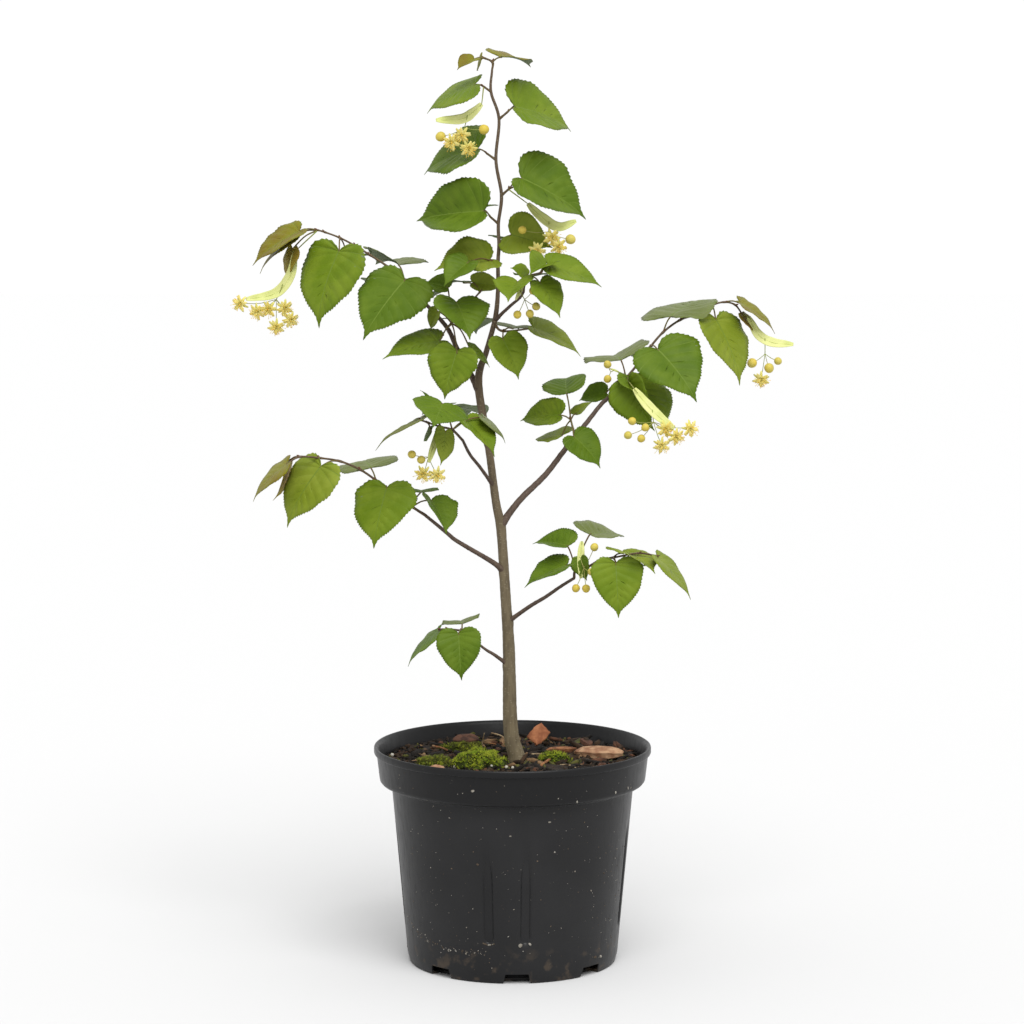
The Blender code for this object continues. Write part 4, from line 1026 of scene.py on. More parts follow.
@dataclass
class LeafBlade:
    """The blade of a linden leaf, worked out once for a blade of length one.

    Rays run from the midrib to the margin, two of them close together along each side vein.
    """

    outline: tuple = (
        (0.0, 0.012), (-0.045, 0.05), (-0.10, 0.13), (-0.125, 0.24), (-0.085, 0.36), (0.02, 0.455),
        (0.16, 0.50), (0.31, 0.487), (0.46, 0.425), (0.60, 0.325), (0.72, 0.22), (0.79, 0.137),
        (0.84, 0.078), (0.885, 0.042), (0.935, 0.021), (0.985, 0.008))
    outline_step: float = 0.004
    vein_ends: tuple = (0.02, 0.17, 0.31, 0.43, 0.54, 0.64, 0.73, 0.81, 0.885, 0.99)
    vein_roots: tuple = (0.0, 0.0, 0.0, 0.03, 0.16, 0.29, 0.42, 0.54, 0.66, 0.86)
    vein_half: float = 0.0038
    between: int = 4
    rings: int = 6
    crowding: float = 0.85
    sweep: tuple = (-0.05, 0.012)
    tooth: float = 0.013
    notch: float = -0.35
    pillow: float = 0.017
    arch: float = 0.05
    lobe_fall: float = 0.4
    thickness: float = 0.35
    midrib_half: float = 0.009
    wander: float = 0.035
    wander_size: float = 0.3
    wave: float = 0.03
    wave_size: float = 0.42
    keel: tuple = (0.0006, 0.024)
    droop: tuple = (0.10, 0.24)
    hook: tuple = (0.25, 0.6)
    hook_from: float = 0.72
    sway: float = 0.05
    uneven: tuple = (-0.01, 0.03)

    def __post_init__(self) -> None:
        """Work out the half blade's grid and the faces of the whole."""
        self.columns = self.column_shares()
        self.grid()
        self.faces, self.codes = self.all_faces()

    def column_shares(self) -> list[tuple[float, float, bool]]:
        """Lay out the rays of the half blade.

        Returns:
            Each ray as (share of the margin, root on the midrib, starts a vein strip).
        """
        ends, roots = self.vein_ends, self.vein_roots
        out = []
        last = len(ends) - 2
        for index in range(last + 1):
            start = ends[index] + (self.vein_half if index else 0.0)
            stop = ends[index + 1] - (self.vein_half if index < last else 0.0)
            for step in range(self.between + 2):
                share = step / (self.between + 1)
                root = roots[index] + (roots[index + 1] - roots[index]) * share
                strip = step == self.between + 1 and index < last
                out.append((start + (stop - start) * share, root, strip))
        return out

    def grid(self) -> None:
        """Fill in along, aside and lift for each ray and ring of the half blade."""
        edge = spline([(along, aside, 0.0) for along, aside in self.outline],
                      self.outline_step)[:, :2]
        run = lengths(edge)
        run /= run[-1]

        def margin(share: float) -> np.ndarray:
            """The place on the smooth margin at a share of its length."""
            return np.array([np.interp(share, run, edge[:, 0]), np.interp(share, run, edge[:, 1])])

        count = len(self.columns)
        self.along = np.zeros((count, self.rings))
        self.aside = np.zeros((count, self.rings))
        self.lift = np.zeros((count, self.rings))
        self.reach = np.linspace(0.0, 1.0, self.rings) ** self.crowding
        per_gap = self.between + 2
        for index, (share, root, _) in enumerate(self.columns):
            rim = margin(share)
            ahead = margin(share + 0.01) - rim
            ahead /= max(np.linalg.norm(ahead), 1e-6)
            out = np.array([-ahead[1], ahead[0]])
            sharp = 1.0 if index % 2 else self.notch
            fade = min(1.0, (1.0 - share) / 0.12) * min(1.0, share / 0.08)
            rim = rim + (out + ahead * 0.6) * self.tooth * sharp * fade
            heel = np.array([root, 0.0])
            way = rim - heel
            start = heel + way / max(np.linalg.norm(way), 1e-6) * self.midrib_half * (1.2 - root)
            if root > 0.05:
                start = heel + np.array([0.0, self.midrib_half * (1.15 - root)])
            inside = (index % per_gap) / (per_gap - 1)
            for ring, u in enumerate(self.reach):
                spot = start + (rim - start) * u
                spot = spot + np.array(self.sweep) * u * (1.0 - u)
                self.along[index, ring], self.aside[index, ring] = spot
                puff = math.sin(math.pi * inside) * math.sin(math.pi * min(u * 0.9 + 0.08, 1.0))
                self.lift[index, ring] = self.pillow * puff * (1.0 - 0.5 * share)

    def all_faces(self) -> tuple[list, list]:
        """Work out the faces of a whole blade with two sides and a rim.

        Returns:
            Faces, and for each 0 upper side, 1 upper vein, 2 underside, 3 under vein.
        """
        count, rings = len(self.columns), self.rings
        half = count * rings
        tip = 2 * half
        under = tip + 1
        upper, codes = [], []

        def left(column: int, ring: int) -> int:
            """The corner at a ray and a ring of the left half."""
            return column * rings + ring

        def right(column: int, ring: int) -> int:
            """The corner at a ray and a ring of the right half."""
            return half + column * rings + ring

        for column in range(count - 1):
            code = 1 if self.columns[column][2] else 0
            for ring in range(rings - 1):
                upper.append([right(column, ring), right(column + 1, ring),
                              right(column + 1, ring + 1), right(column, ring + 1)])
                upper.append([left(column, ring), left(column, ring + 1),
                              left(column + 1, ring + 1), left(column + 1, ring)])
                codes += [code, code]
            upper.append([left(column, 0), left(column + 1, 0),
                          right(column + 1, 0), right(column, 0)])
            codes.append(1)
        last = count - 1
        for ring in range(rings - 1):
            upper.append([right(last, ring), tip, right(last, ring + 1)])
            upper.append([left(last, ring), left(last, ring + 1), tip])
            codes += [0, 0]
        upper.append([left(last, 0), tip, right(last, 0)])
        codes.append(1)
        lower = [[corner + under for corner in reversed(face)] for face in upper]
        loop = [right(column, rings - 1) for column in range(count)] + [tip]
        loop += [left(column, rings - 1) for column in reversed(range(count))]
        loop += [left(0, ring) for ring in reversed(range(rings - 1))]
        loop += [right(0, ring) for ring in range(rings - 1)]
        rim = [[b, b + under, a + under, a] for a, b in zip(loop, loop[1:] + loop[:1])]
        return upper + lower + rim, codes + [code + 2 for code in codes] + [0] * len(rim)

    def blade(self, heel: np.ndarray, leaf: Leaf, rng: random.Random) -> np.ndarray:
        """Work out the corners of one leaf.

        Args:
            heel: Where the stalk meets the blade.
            leaf: The leaf's row.
            rng: The random source of its spray.

        Returns:
            Its corners, upper side first.
        """
        length = float(np.linalg.norm(leaf.blade))
        ahead, up = leaf.axes()
        aside = np.cross(up, ahead)
        bend = math.radians(leaf.fold)
        droop = rng.uniform(*self.droop)
        hook = rng.uniform(*self.hook)
        sway = rng.uniform(-self.sway, self.sway)
        sheets = []
        for hand in (-1.0, 1.0):
            wide = leaf.wide * (1.0 + hand * rng.uniform(*self.uneven))
            along = self.along.ravel()
            out = self.aside.ravel() * wide
            flat = np.column_stack([along, out * hand, np.zeros(len(out))])
            margin = ripple(flat, self.wander_size, f"margin_{rng.random()}")
            out = out * (1.0 + self.wander * margin)
            rise = np.where(along > 0, self.arch * 4.0 * along * (1.0 - along),
                            -self.lobe_fall * along ** 2)
            rise = rise + (np.sqrt(out ** 2 + self.keel[0]) - self.keel[1]) * math.sin(bend)
            rise -= droop * out ** 2 + hook * np.clip(along - self.hook_from, 0.0, None) ** 2
            rise += self.lift.ravel()
            wave = ripple(flat, self.wave_size, f"edge_{rng.random()}")
            rise += self.wave * (out / 0.5) ** 2 * wave
            shift = out * hand * math.cos(bend) + sway * np.clip(along, 0, None) ** 2
            sheets.append(np.outer(along, ahead) + np.outer(rise, up) + np.outer(shift, aside))
        fall = -hook * (1.0 - self.hook_from) ** 2
        tip = ahead + up * fall + aside * sway
        upper = np.vstack(sheets + [tip[None, :]]) * length + heel
        return np.vstack([upper, upper - up * self.thickness])


@dataclass
class Trunk:
    """The trunk, from the soil to the top fork."""

    rows: tuple
    sides: int = 28
    step: float = 2.2
    ridge: float = 0.02
    ridge_size: float = 4.0
    knob: float = 0.02
    knob_size: float = 7.0
    collar: float = 0.5
    foot_under: float = 3.0

    def __post_init__(self) -> None:
        """Work out the smooth line."""
        self.line = spline(self.rows, self.step)

    def at(self, height: float) -> tuple[np.ndarray, float]:
        """Find the trunk at a height.

        Args:
            height: The height.

        Returns:
            Its centre and radius there.
        """
        heights = self.line[:, 2]
        row = [np.interp(height, heights, self.line[:, column]) for column in range(4)]
        return np.array(row[:3]), float(row[3])

    def build(self, limbs: Sequence[Limb]) -> None:
        """Make the trunk with low ridges and a swelling under each bough.

        Args:
            limbs: The boughs that it carries.
        """
        swellings = []
        for limb in limbs:
            centre, _ = self.at(limb.height)
            way = unit(np.array(limb.points[0], float) - centre)
            swellings.append((limb.height, way, limb.base_radius))

        def relief(place: np.ndarray, ring: np.ndarray) -> np.ndarray:
            """Ridges that run up the trunk, knobs and collars.

            Args:
                place: The ring's centre.
                ring: Its corners, about the centre, at length one.

            Returns:
                The share to add to the radius at each corner.
            """
            flat = np.column_stack([ring[:, :2] * 5.0, np.full(len(ring), place[2] * 0.02)])
            share = self.ridge * ripple(flat, self.ridge_size, "ridges")
            share += self.knob * ripple(place + ring * 5.0, self.knob_size, "knobs")
            for height, way, radius in swellings:
                near = math.exp(-((place[2] - height + radius * 0.6) / (radius * 2.2)) ** 2)
                facing = np.clip(ring @ way, 0.0, None) ** 3
                share += self.collar * near * facing * radius / 4.0
            return share

        corners, faces = tube(self.line[:, :3], self.line[:, 3], self.sides, relief)
        corners[:, 2] = np.maximum(corners[:, 2], SOIL_HEIGHT - self.foot_under)
        heap = Heap()
        heap.add(corners, faces)
        heap.piece("trunk_with_bark", [TRUNK_BARK], "bark", ["trunk"])


@dataclass
class Boughs:
    """The boughs, one tapering limb each."""

    rows: tuple
    sides: int = 16
    step: float = 2.0
    flare: float = 0.35
    flare_length: float = 4.0
    start_under: float = 1.5
    knob: float = 0.05
    knob_size: float = 5.0

    def build(self, trunk: Trunk) -> dict[str, np.ndarray]:
        """Make all boughs as one piece.

        Args:
            trunk: The trunk that carries them.

        Returns:
            Each bough's line with its radius, by name.
        """
        heap = Heap()
        lines = {}
        for limb in self.rows:
            centre, thick = trunk.at(limb.height)
            start = centre - np.array([0.0, 0.0, self.start_under])
            line = spline([start, *limb.points], self.step)
            run = lengths(line)
            radii = limb.base_radius + (limb.tip_radius - limb.base_radius) * run / run[-1]
            radii = radii * (1.0 + self.flare * np.exp(-np.clip(run - thick, 0, None)
                                                       / self.flare_length))
            name = limb.name

            def relief(place: np.ndarray, ring: np.ndarray) -> np.ndarray:
                """Small knobs and rings of old scars."""
                return self.knob * ripple(place + ring * 2.0, self.knob_size, name)

            heap.add(*tube(line, radii, self.sides, relief))
            lines[name] = np.column_stack([line, radii])
        heap.piece("boughs_with_bark", [BOUGH_BARK], "twig_bark",
                   [limb.name for limb in self.rows])
        return lines


@dataclass
class Blossom:
    """The open blossom and the closed bud, worked out once at radius one, facing +Z."""

    petals: int = 5
    petal_half: float = 0.24
    sepal_half: float = 0.17
    sepal_reach: float = 0.92
    rows: int = 6
    sheet: float = 0.03
    stamens: int = 44
    stamen_tilt: tuple = (0.15, 1.15)
    stamen_length: tuple = (0.75, 1.2)
    filament: tuple = (0.034, 0.03, 0.024)
    anther: tuple = (0.075, 0.052, 0.052)
    pistil: float = 0.2
    pistil_lift: float = 0.12
    bud_ribs: int = 5
    bud_swell: float = 0.05

    def __post_init__(self) -> None:
        """Work out both, the blossom as (corners, faces, finish number) for each part."""
        rng = rng_for("open_blossom")
        self.parts: list[tuple[np.ndarray, list, int]] = []
        count = 2 * self.petals
        for petal in range(count):
            is_petal = petal % 2 == 0
            angle = math.tau * petal / count + rng.uniform(-0.1, 0.1)
            shape, faces = self.petal(is_petal)
            self.parts.append((shape @ turn_z(angle), faces, 1 if is_petal else 2))
        for _ in range(self.stamens):
            angle = rng.uniform(0, math.tau)
            tilt = rng.uniform(*self.stamen_tilt)
            length = rng.uniform(*self.stamen_length)
            way = np.array([math.cos(angle) * math.sin(tilt), math.sin(angle) * math.sin(tilt),
                            math.cos(tilt)])
            line = np.array([way * 0.1, way * length * 0.55 + np.array([0, 0, 0.06]),
                             way * length])
            self.parts.append((*tube(line, np.array(self.filament), 3), 3))
            shape, faces = ball(4, 1)
            self.parts.append((shape * np.array(self.anther) + way * length, faces, 4))
        shape, faces = ball(8, 5)
        self.parts.append((shape * self.pistil + np.array([0, 0, self.pistil_lift]), faces, 0))
        shape, faces = ball(12, 8)
        angles = np.arctan2(shape[:, 1], shape[:, 0])
        swell = 1.0 + self.bud_swell * np.cos(angles * self.bud_ribs)
        shape[:, :2] *= swell[:, None]
        shape[:, 2] *= np.where(shape[:, 2] > 0, 1.12, 0.95)
        self.bud = (shape, faces)

    def petal(self, is_petal: bool) -> Shape:
        """Make one petal or sepal of length one along +X, a thin closed blade.

        Args:
            is_petal: Whether it is a petal, which is longer and rises more.

        Returns:
            Corners and faces.
        """
        corners = []
        wide = self.petal_half if is_petal else self.sepal_half
        for row in np.linspace(0.12, 1.0 if is_petal else self.sepal_reach, self.rows):
            half = wide * math.sin(math.pi * (0.18 + 0.76 * row)) ** 0.8
            rise = 0.12 + 0.42 * row - 0.30 * row ** 2 if is_petal else 0.06 - 0.30 * row ** 2
            for column in (-1.0, 0.0, 1.0):
                corners.append((row, column * half, rise + 0.07 * abs(column)))
        return thin_sheet(np.array(corners), np.array([0, 0, self.sheet]), 3)


@dataclass
class Crown:
    """Twigs, leaf stalks, leaves, buds and blossom of all foliage masses."""

    rows: tuple
    twig_radius: float = 1.35
    tip_radius: float = 0.85
    root_radius: float = 1.6
    side_root_radius: float = 1.5
    twig_sides: int = 10
    twig_step: float = 1.5
    twig_end: float = 2.0
    knuckle: float = 0.38
    knuckle_length: float = 2.2
    bud_long: float = 1.9
    bud_point: float = 0.35
    bud_lift: float = 2.2
    petiole_radius: float = 0.75
    petiole_sides: int = 7
    petiole_arch: float = 0.10
    bract_half_width: float = 5.4
    bract_full_length: float = 52.0
    bract_columns: int = 9
    bract_thickness: float = 0.3
    bract_curl: tuple = (0.12, 0.3)
    rib_radii: tuple = (0.5, 0.2)
    rib_sides: int = 6
    stalk_radius: float = 0.5
    fork_radius: float = 0.45
    head_stalk_radius: float = 0.36
    stalk_sag: float = 0.06
    thirds: tuple = (520.0, 668.0)
    flower_spread: float = 1.32

    def build(self, trunk: Trunk, boughs: dict[str, np.ndarray]) -> None:
        """Make the pieces of the crown, each kind joined apart.

        Args:
            trunk: The trunk.
            boughs: The boughs' lines.
        """
        self.blade, self.blossom = LeafBlade(), Blossom()
        self.twigs, self.stalks, self.buds = Heap(), Heap(), Heap()
        self.bracts, self.pedicels, self.heads = Heap(), Heap(), Heap()
        self.leaves = [Heap(), Heap(), Heap()]
        self.replaced: list[list[str]] = [[], [], []]
        self.tones = list(Tone)
        for spray in self.rows:
            self.grow(spray, trunk, boughs)
        self.dress()

    def dress(self) -> None:
        """Turn the heaps into pieces with their finishes."""
        tones = [LEAF_FINISHES[tone] for tone in self.tones] + [VEIN, UNDERSIDE, UNDER_VEIN]
        for part, heap, names in zip(("lower", "middle", "upper"), self.leaves, self.replaced):
            heap.piece(f"leaves_{part}", tones, "foliage", names)
        for heap, name, finishes in (
                (self.twigs, "twigs", [SHOOT]), (self.stalks, "leaf_stalks", [PETIOLE]),
                (self.buds, "twig_buds", [BUD_SCALE]),
                (self.bracts, "blossom_bracts", [BRACT, BRACT_RIB]),
                (self.pedicels, "blossom_stalks", [BLOSSOM_STALK]),
                (self.heads, "blossom_heads", [BUD, PETAL, SEPAL, FILAMENT, ANTHER])):
            heap.piece(name, finishes, "foliage")

    def root_of(self, spray: Spray, trunk: Trunk, boughs: dict[str, np.ndarray]) -> np.ndarray:
        """Find where a mass's twig starts, inside the limb that carries it.

        Args:
            spray: The mass's row.
            trunk: The trunk.
            boughs: The boughs' lines.

        Returns:
            The place with the twig's radius there.
        """
        if spray.limb is None:
            centre, radius = trunk.at(spray.height)
            return np.append(centre, min(radius, self.root_radius))
        line = boughs[spray.limb]
        if spray.side is not None:
            far = np.linalg.norm(line[:, :3] - np.array(spray.side, float), axis=1)
            return np.append(line[int(np.argmin(far)), :3], self.side_root_radius)
        return line[-1]

    def grow(self, spray: Spray, trunk: Trunk, boughs: dict[str, np.ndarray]) -> None:
        """Add one mass: its twig, then what grows at each node.

        Args:
            spray: The mass's row.
            trunk: The trunk.
            boughs: The boughs' lines.
        """
        rng = rng_for(spray.name)
        nodes = [np.array(node, float) for node in spray.nodes]
        knots = [self.root_of(spray, trunk, boughs)]
        for index, node in enumerate(nodes):
            share = (index + 1) / len(nodes)
            radius = self.twig_radius + (self.tip_radius - self.twig_radius) * share
            knots.append(np.append(node, radius))
        ahead = unit(knots[-1][:3] - knots[-2][:3])
        knots.append(np.append(nodes[-1] + ahead * self.twig_end, self.tip_radius * 0.8))
        line = spline(knots, self.twig_step)
        radii = line[:, 3].copy()
        for node in nodes:
            far = np.linalg.norm(line[:, :3] - node, axis=1)
            radii *= 1.0 + self.knuckle * np.exp(-(far / self.knuckle_length) ** 2)
        self.twigs.add(*tube(line[:, :3], radii, self.twig_sides))
        third = sum(nodes[0][2] > limit for limit in self.thirds)
        self.replaced[third].append(spray.name)
        for leaf in spray.leaves:
            self.add_leaf(nodes[leaf.node], leaf, self.leaves[third], rng)
        for bloom in spray.blooms:
            self.add_bloom(nodes[bloom.node], bloom, rng)
        for index, node in enumerate(nodes):
            self.add_bud(node, unit(node - knots[index][:3]), rng)

    def add_bud(self, node: np.ndarray, ahead: np.ndarray, rng: random.Random) -> None:
        """Add one small pointed winter bud beside a node.

        Args:
            node: The node.
            ahead: The twig's way there.
            rng: The random source of its spray.
        """
        corners, faces = ball(8, 5)
        corners = corners * np.array([1.0, 1.0, self.bud_long])
        narrow = self.bud_point * np.clip(corners[:, 2:3] / self.bud_long, 0, None)
        corners[:, :2] *= 1.0 - narrow
        lean = np.array([rng.uniform(-0.6, 0.6), rng.uniform(-0.6, 0.6), rng.uniform(0.1, 0.7)])
        way = unit(ahead + lean)
        place = node + way * self.bud_lift
        self.buds.add(turned_to(corners, way) * rng.uniform(0.85, 1.1) + place, faces)

    def add_leaf(self, node: np.ndarray, leaf: Leaf, heap: Heap, rng: random.Random) -> None:
        """Add a leaf's stalk and blade.

        Args:
            node: Its node.
            leaf: Its row.
            heap: Where the blade goes.
            rng: The random source of its spray.
        """
        heel = node + np.array(leaf.petiole, float)
        corners = self.blade.blade(heel, leaf, rng)
        count = len(self.tones)
        by_code = (self.tones.index(leaf.tone), count, count + 1, count + 2)
        heap.add(corners, self.blade.faces, [by_code[code] for code in self.blade.codes])
        sag = np.array([0.0, 0.0, self.petiole_arch * float(np.linalg.norm(heel - node))])
        ahead, up = leaf.axes()
        places = (node, (node + heel) / 2 + sag, heel - up * 0.4, heel + ahead * 2.5 - up * 0.3)
        knots = [np.append(place, self.petiole_radius * share)
                 for place, share in zip(places, (1.25, 1.0, 1.1, 0.7))]
        line = spline(knots, 2.0)
        self.stalks.add(*tube(line[:, :3], line[:, 3], self.petiole_sides))

    def add_bloom(self, node: np.ndarray, bloom: Bloom, rng: random.Random) -> None:
        """Add a bract, the stalk grown onto it and the heads.

        Args:
            node: Its node.
            bloom: Its row.
            rng: The random source of its spray.
        """
        base = node + np.array(bloom.stalk, float)
        path = [base] + [base + np.array(step, float) for step in bloom.bract]
        self.add_bract(path, rng)
        knots = [np.append(node, self.petiole_radius), np.append(base, self.stalk_radius),
                 np.append(path[0] * 0.7 + path[1] * 0.3, self.stalk_radius * 0.8)]
        line = spline(knots, 2.0)
        self.pedicels.add(*tube(line[:, :3], line[:, 3], 6))
        places = [base + np.array(head.place, float) for head in bloom.heads]
        middle = sum(places) / len(places)
        hub = (path[1] + path[2]) / 2
        fork = hub + (middle - hub) * 0.5 + np.array([0.0, 0.0, -1.0])
        self.stalk_between(hub + np.array([0.0, -0.8, 0.2]), fork, self.fork_radius)
        for place, head in zip(places, bloom.heads):
            self.stalk_between(fork, place, self.head_stalk_radius)
            self.add_head(place, unit(place - fork), head.radius, rng)

    def stalk_between(self, start: np.ndarray, end: np.ndarray, radius: float) -> None:
        """Add one thin stalk with a slight sag.

        Args:
            start: Its start.
            end: Its end.
            radius: Its radius.
        """
        reach = float(np.linalg.norm(end - start))
        middle = (start + end) / 2 + np.array([0.0, 0.0, -self.stalk_sag * reach])
        line = spline([start, middle, end], 2.5)
        self.pedicels.add(*tube(line, np.full(len(line), radius), 5))

    def add_bract(self, path: Sequence[np.ndarray], rng: random.Random) -> None:
        """Add the tongue-shaped bract along its path.

        Args:
            path: Its four points.
            rng: The random source of its spray.
        """
        line = spline(path, 2.0)
        count, columns = len(line), self.bract_columns
        ahead = headings(line)
        reach = float(np.linalg.norm(np.diff(line, axis=0), axis=1).sum())
        broad = self.bract_half_width * min(1.0, reach / self.bract_full_length)
        shares = np.linspace(0.0, 1.0, count)
        half = broad * np.clip(np.sin(math.pi * (0.06 + 0.9 * shares)), 0, None) ** 0.55
        curl = rng.uniform(*self.bract_curl)
        rows, outs = [], []
        for index in range(count):
            across = unit(np.cross(ahead[index], (0.15, -1.0, 0.45)))
            out = np.cross(across, ahead[index])
            outs.append(out)
            for column in np.linspace(-1.0, 1.0, columns):
                rise = curl * half[index] * column ** 2 + 0.25 * math.sin(index * 0.9 + column * 2)
                rows.append(line[index] + across * (column * half[index]) + out * rise)
        depth = np.repeat(np.array(outs), columns, axis=0) * self.bract_thickness
        self.bracts.add(*thin_sheet(np.array(rows), depth, columns))
        self.bracts.add(*tube(line, np.linspace(*self.rib_radii, count), self.rib_sides), slot=1)

    def add_head(self, place: np.ndarray, way: np.ndarray, radius: float,
                 rng: random.Random) -> None:
        """Add one open blossom, or one closed round bud where the radius is small.

        Args:
            place: Its middle.
            way: The way of its stalk.
            radius: Its radius.
            rng: The random source of its spray.
        """
        if radius >= FLOWER_RADIUS:
            facing = unit(way * 0.5 + np.array([0.0, -0.85, -0.1]))
            spin = rng.uniform(0, math.tau)
            for shape, faces, slot in self.blossom.parts:
                shape = shape * radius * self.flower_spread
                self.heads.add(turned_to(shape, facing, spin) + place, faces, slot)
            return
        shape, faces = self.blossom.bud
        self.heads.add(turned_to(shape * radius, way, rng.uniform(0, 6)) + place, faces)


@dataclass
class NurseryPot:
    """The ten litre nursery pot with its rolled rim, band, flutes and drainage slots."""

    height: float = 220.0
    rim: float = 140.0
    band_top: float = 137.2
    band_low: float = 134.2
    band_height: float = 184.0
    wall_top: float = 122.0
    wall_low: float = 107.2
    wall_rows: int = 46
    foot: float = 104.0
    foot_inner: float = 92.5
    disc: float = 58.0
    rise: float = 9.0
    wall: float = 2.6
    steps: int = 480
    slots: int = 8
    slot_low: float = 29.0
    slot_top: float = 23.0
    slot_height: float = 10.0
    slot_deep: float = 30.0
    slot_turn: float = 2.4
    flutes: tuple = (-12.4, 6.6)
    flute_half: float = 3.3
    flute_depth: float = 5.5
    flute_from: float = 40.0
    flute_start: float = 5.0
    flute_to: float = 148.0
    flute_fade: float = 45.0
    sharp_angle: float = 50.0
    tide: tuple = ((-74, 50), (-65, 44), (-59, 39), (-50, 34), (-38, 31), (-25, 31), (-13, 30))
    tide_flakes: int = 16
    splashes: tuple = (
        (-16.5, 199, 1.7), (-17, 122, 1.7), (17.5, 165, 1.5), (20.5, 134, 1.2), (36, 161, 1.1),
        (58, 190, 1.6), (49, 189, 1.6), (28, 186, 1.6), (-1, 152, 1.1), (52, 104, 1.3),
        (32, 112, 1.2), (43, 89, 1.2), (-31, 115, 1.0), (12, 126, 1.0), (50, 18, 2.0),
        (55, 17, 2.0), (-14, 33, 0.9), (-25, 29, 1.1), (4, 40, 2.4), (7, 44, 2.2), (9, 41, 1.8),
        (5.5, 47, 1.6))
    fine_flakes: int = 900
    side_flakes: int = 60
    # How many flakes make the pale crescent at the foot of the left flute, a painted highlight.
    highlight_crescent: int = 9
    flake_lift: float = 0.12

    def profile(self) -> list[tuple[float, float, bool]]:
        """Draw the section from the floor's middle round to the underside's.

        Returns:
            Each row as (radius, height, lies on the outer wall).
        """
        low, top = self.wall_low - self.wall, self.wall_top - self.wall
        floor = self.wall + 0.4
        band, rim, high = self.band_height, self.rim, self.height
        inside_and_band = (
            (0.0, floor), (self.disc, floor), (self.disc + 5.0, self.rise + floor),
            (self.foot_inner - 5.0, self.rise + floor), (self.foot_inner - 0.5, floor),
            (low - 1.5, floor), (low, floor + 4.0), (top, band - 2.5),
            (self.band_low - self.wall, band + 2.0), (self.band_top - self.wall, high - 3.5),
            (rim - 2.8, high - 0.8), (rim - 2.1, high - 0.15), (rim - 1.2, high),
            (rim - 0.35, high - 0.6), (rim, high - 1.8), (rim, high - 6.0),
            (rim - 0.5, high - 7.0), (self.band_top + 0.3, high - 7.8),
            (self.band_top, high - 8.8), (self.band_low + 0.3, band + 4.0),
            (self.band_low - 0.2, band + 1.6), (self.band_low - 1.6, band - 0.2),
            (self.band_low - 4.0, band - 1.3), (self.wall_top + 3.2, band - 1.8),
            (self.wall_top + 2.6, band - 3.6), (self.wall_top + 0.3, band - 4.6))
        foot = (
            (self.wall_low - 0.5, 8.0), (self.wall_low - 1.6, 4.0), (self.foot + 1.0, 1.3),
            (self.foot, 0.3), (self.foot - 1.0, 0.0), (self.foot_inner, 0.0),
            (self.foot_inner - 4.0, self.rise), (self.disc + 4.0, self.rise), (self.disc, 0.0),
            (0.0, 0.0))
        rows = [(*row, False) for row in inside_and_band]
        for step in range(self.wall_rows + 1):
            share = step / self.wall_rows
            level = band - 6.0 + (13.0 - band + 6.0) * share
            rows.append((self.wall_top + (self.wall_low - self.wall_top) * share, level, True))
        return rows + [(*row, False) for row in foot]

    def flute(self, angle: float, high: float) -> float:
        """Work out how deep the flutes cut into the wall.

        Args:
            angle: Degrees from the front.
            high: The height.

        Returns:
            The depth there.
        """
        depth = 0.0
        for centre in self.flutes:
            for quarter in range(4):
                off = (angle - centre - quarter * 90.0 + 180.0) % 360.0 - 180.0
                if abs(off) < self.flute_half:
                    side = math.cos(math.pi / 2 * off / self.flute_half) ** 1.5
                    end = max(0.0, min(1.0, (high - self.flute_from) / self.flute_start))
                    fade = max(0.0, min(1.0, (self.flute_to - high) / self.flute_fade))
                    depth = max(depth, self.flute_depth * side * end * fade)
        return depth

    def build(self) -> None:
        """Turn the section, sink the flutes, cut the slots and lay the marks."""
        rows = self.profile()
        corners, faces = [], []
        for step in range(self.steps):
            angle = 360.0 * step / self.steps
            turn = math.radians(angle - 90.0)
            for radius, high, outer in rows[1:-1]:
                reach = radius - (self.flute(angle, high) if outer else 0.0)
                corners.append((reach * math.cos(turn), reach * math.sin(turn), high))
        size = len(rows) - 2
        floor, foot = len(corners), len(corners) + 1
        corners += [(0.0, 0.0, rows[0][1]), (0.0, 0.0, 0.0)]
        for step in range(self.steps):
            here, there = step * size, (step + 1) % self.steps * size
            faces.append([floor, here, there])
            faces.append([foot, there + size - 1, here + size - 1])
            for row in range(size - 1):
                faces.append([here + row, here + row + 1, there + row + 1, there + row])
        mesh = bpy.data.meshes.new("pot_shell")
        mesh.from_pydata((np.array(corners) * MM).tolist(), [], faces)
        mesh = self.cut_slots(mesh)
        mesh.materials.clear()
        mesh.materials.append(POT_PLASTIC.worn())
        mesh.shade_smooth()
        mesh.set_sharp_from_angle(angle=math.radians(self.sharp_angle))
        register("pot_shell", mesh, ["pot"])
        self.add_marks()

    def slot_cutter(self, index: int) -> bpy.types.Object:
        """Make the block that cuts one drainage slot.

        Args:
            index: Which slot.

        Returns:
            The block.
        """
        bm = bmesh.new()
        bmesh.ops.create_cube(bm, size=1.0)
        for vert in bm.verts:
            high = vert.co.z > 0
            vert.co.x *= (self.slot_top if high else self.slot_low) * MM
            vert.co.y *= self.slot_deep * MM
            vert.co.z = self.slot_height * MM if high else -5.0 * MM
        block = bpy.data.meshes.new("slot_block")
        bm.to_mesh(block)
        bm.free()
        cutter = placed("slot_block", block)
        angle = math.radians(-90.0 + self.slot_turn + index * 360.0 / self.slots)
        reach = (self.wall_low + 1.0) * MM
        cutter.location = (math.cos(angle) * reach, math.sin(angle) * reach, 0.0)
        cutter.rotation_euler = (0.0, 0.0, angle + math.pi / 2)
        return cutter

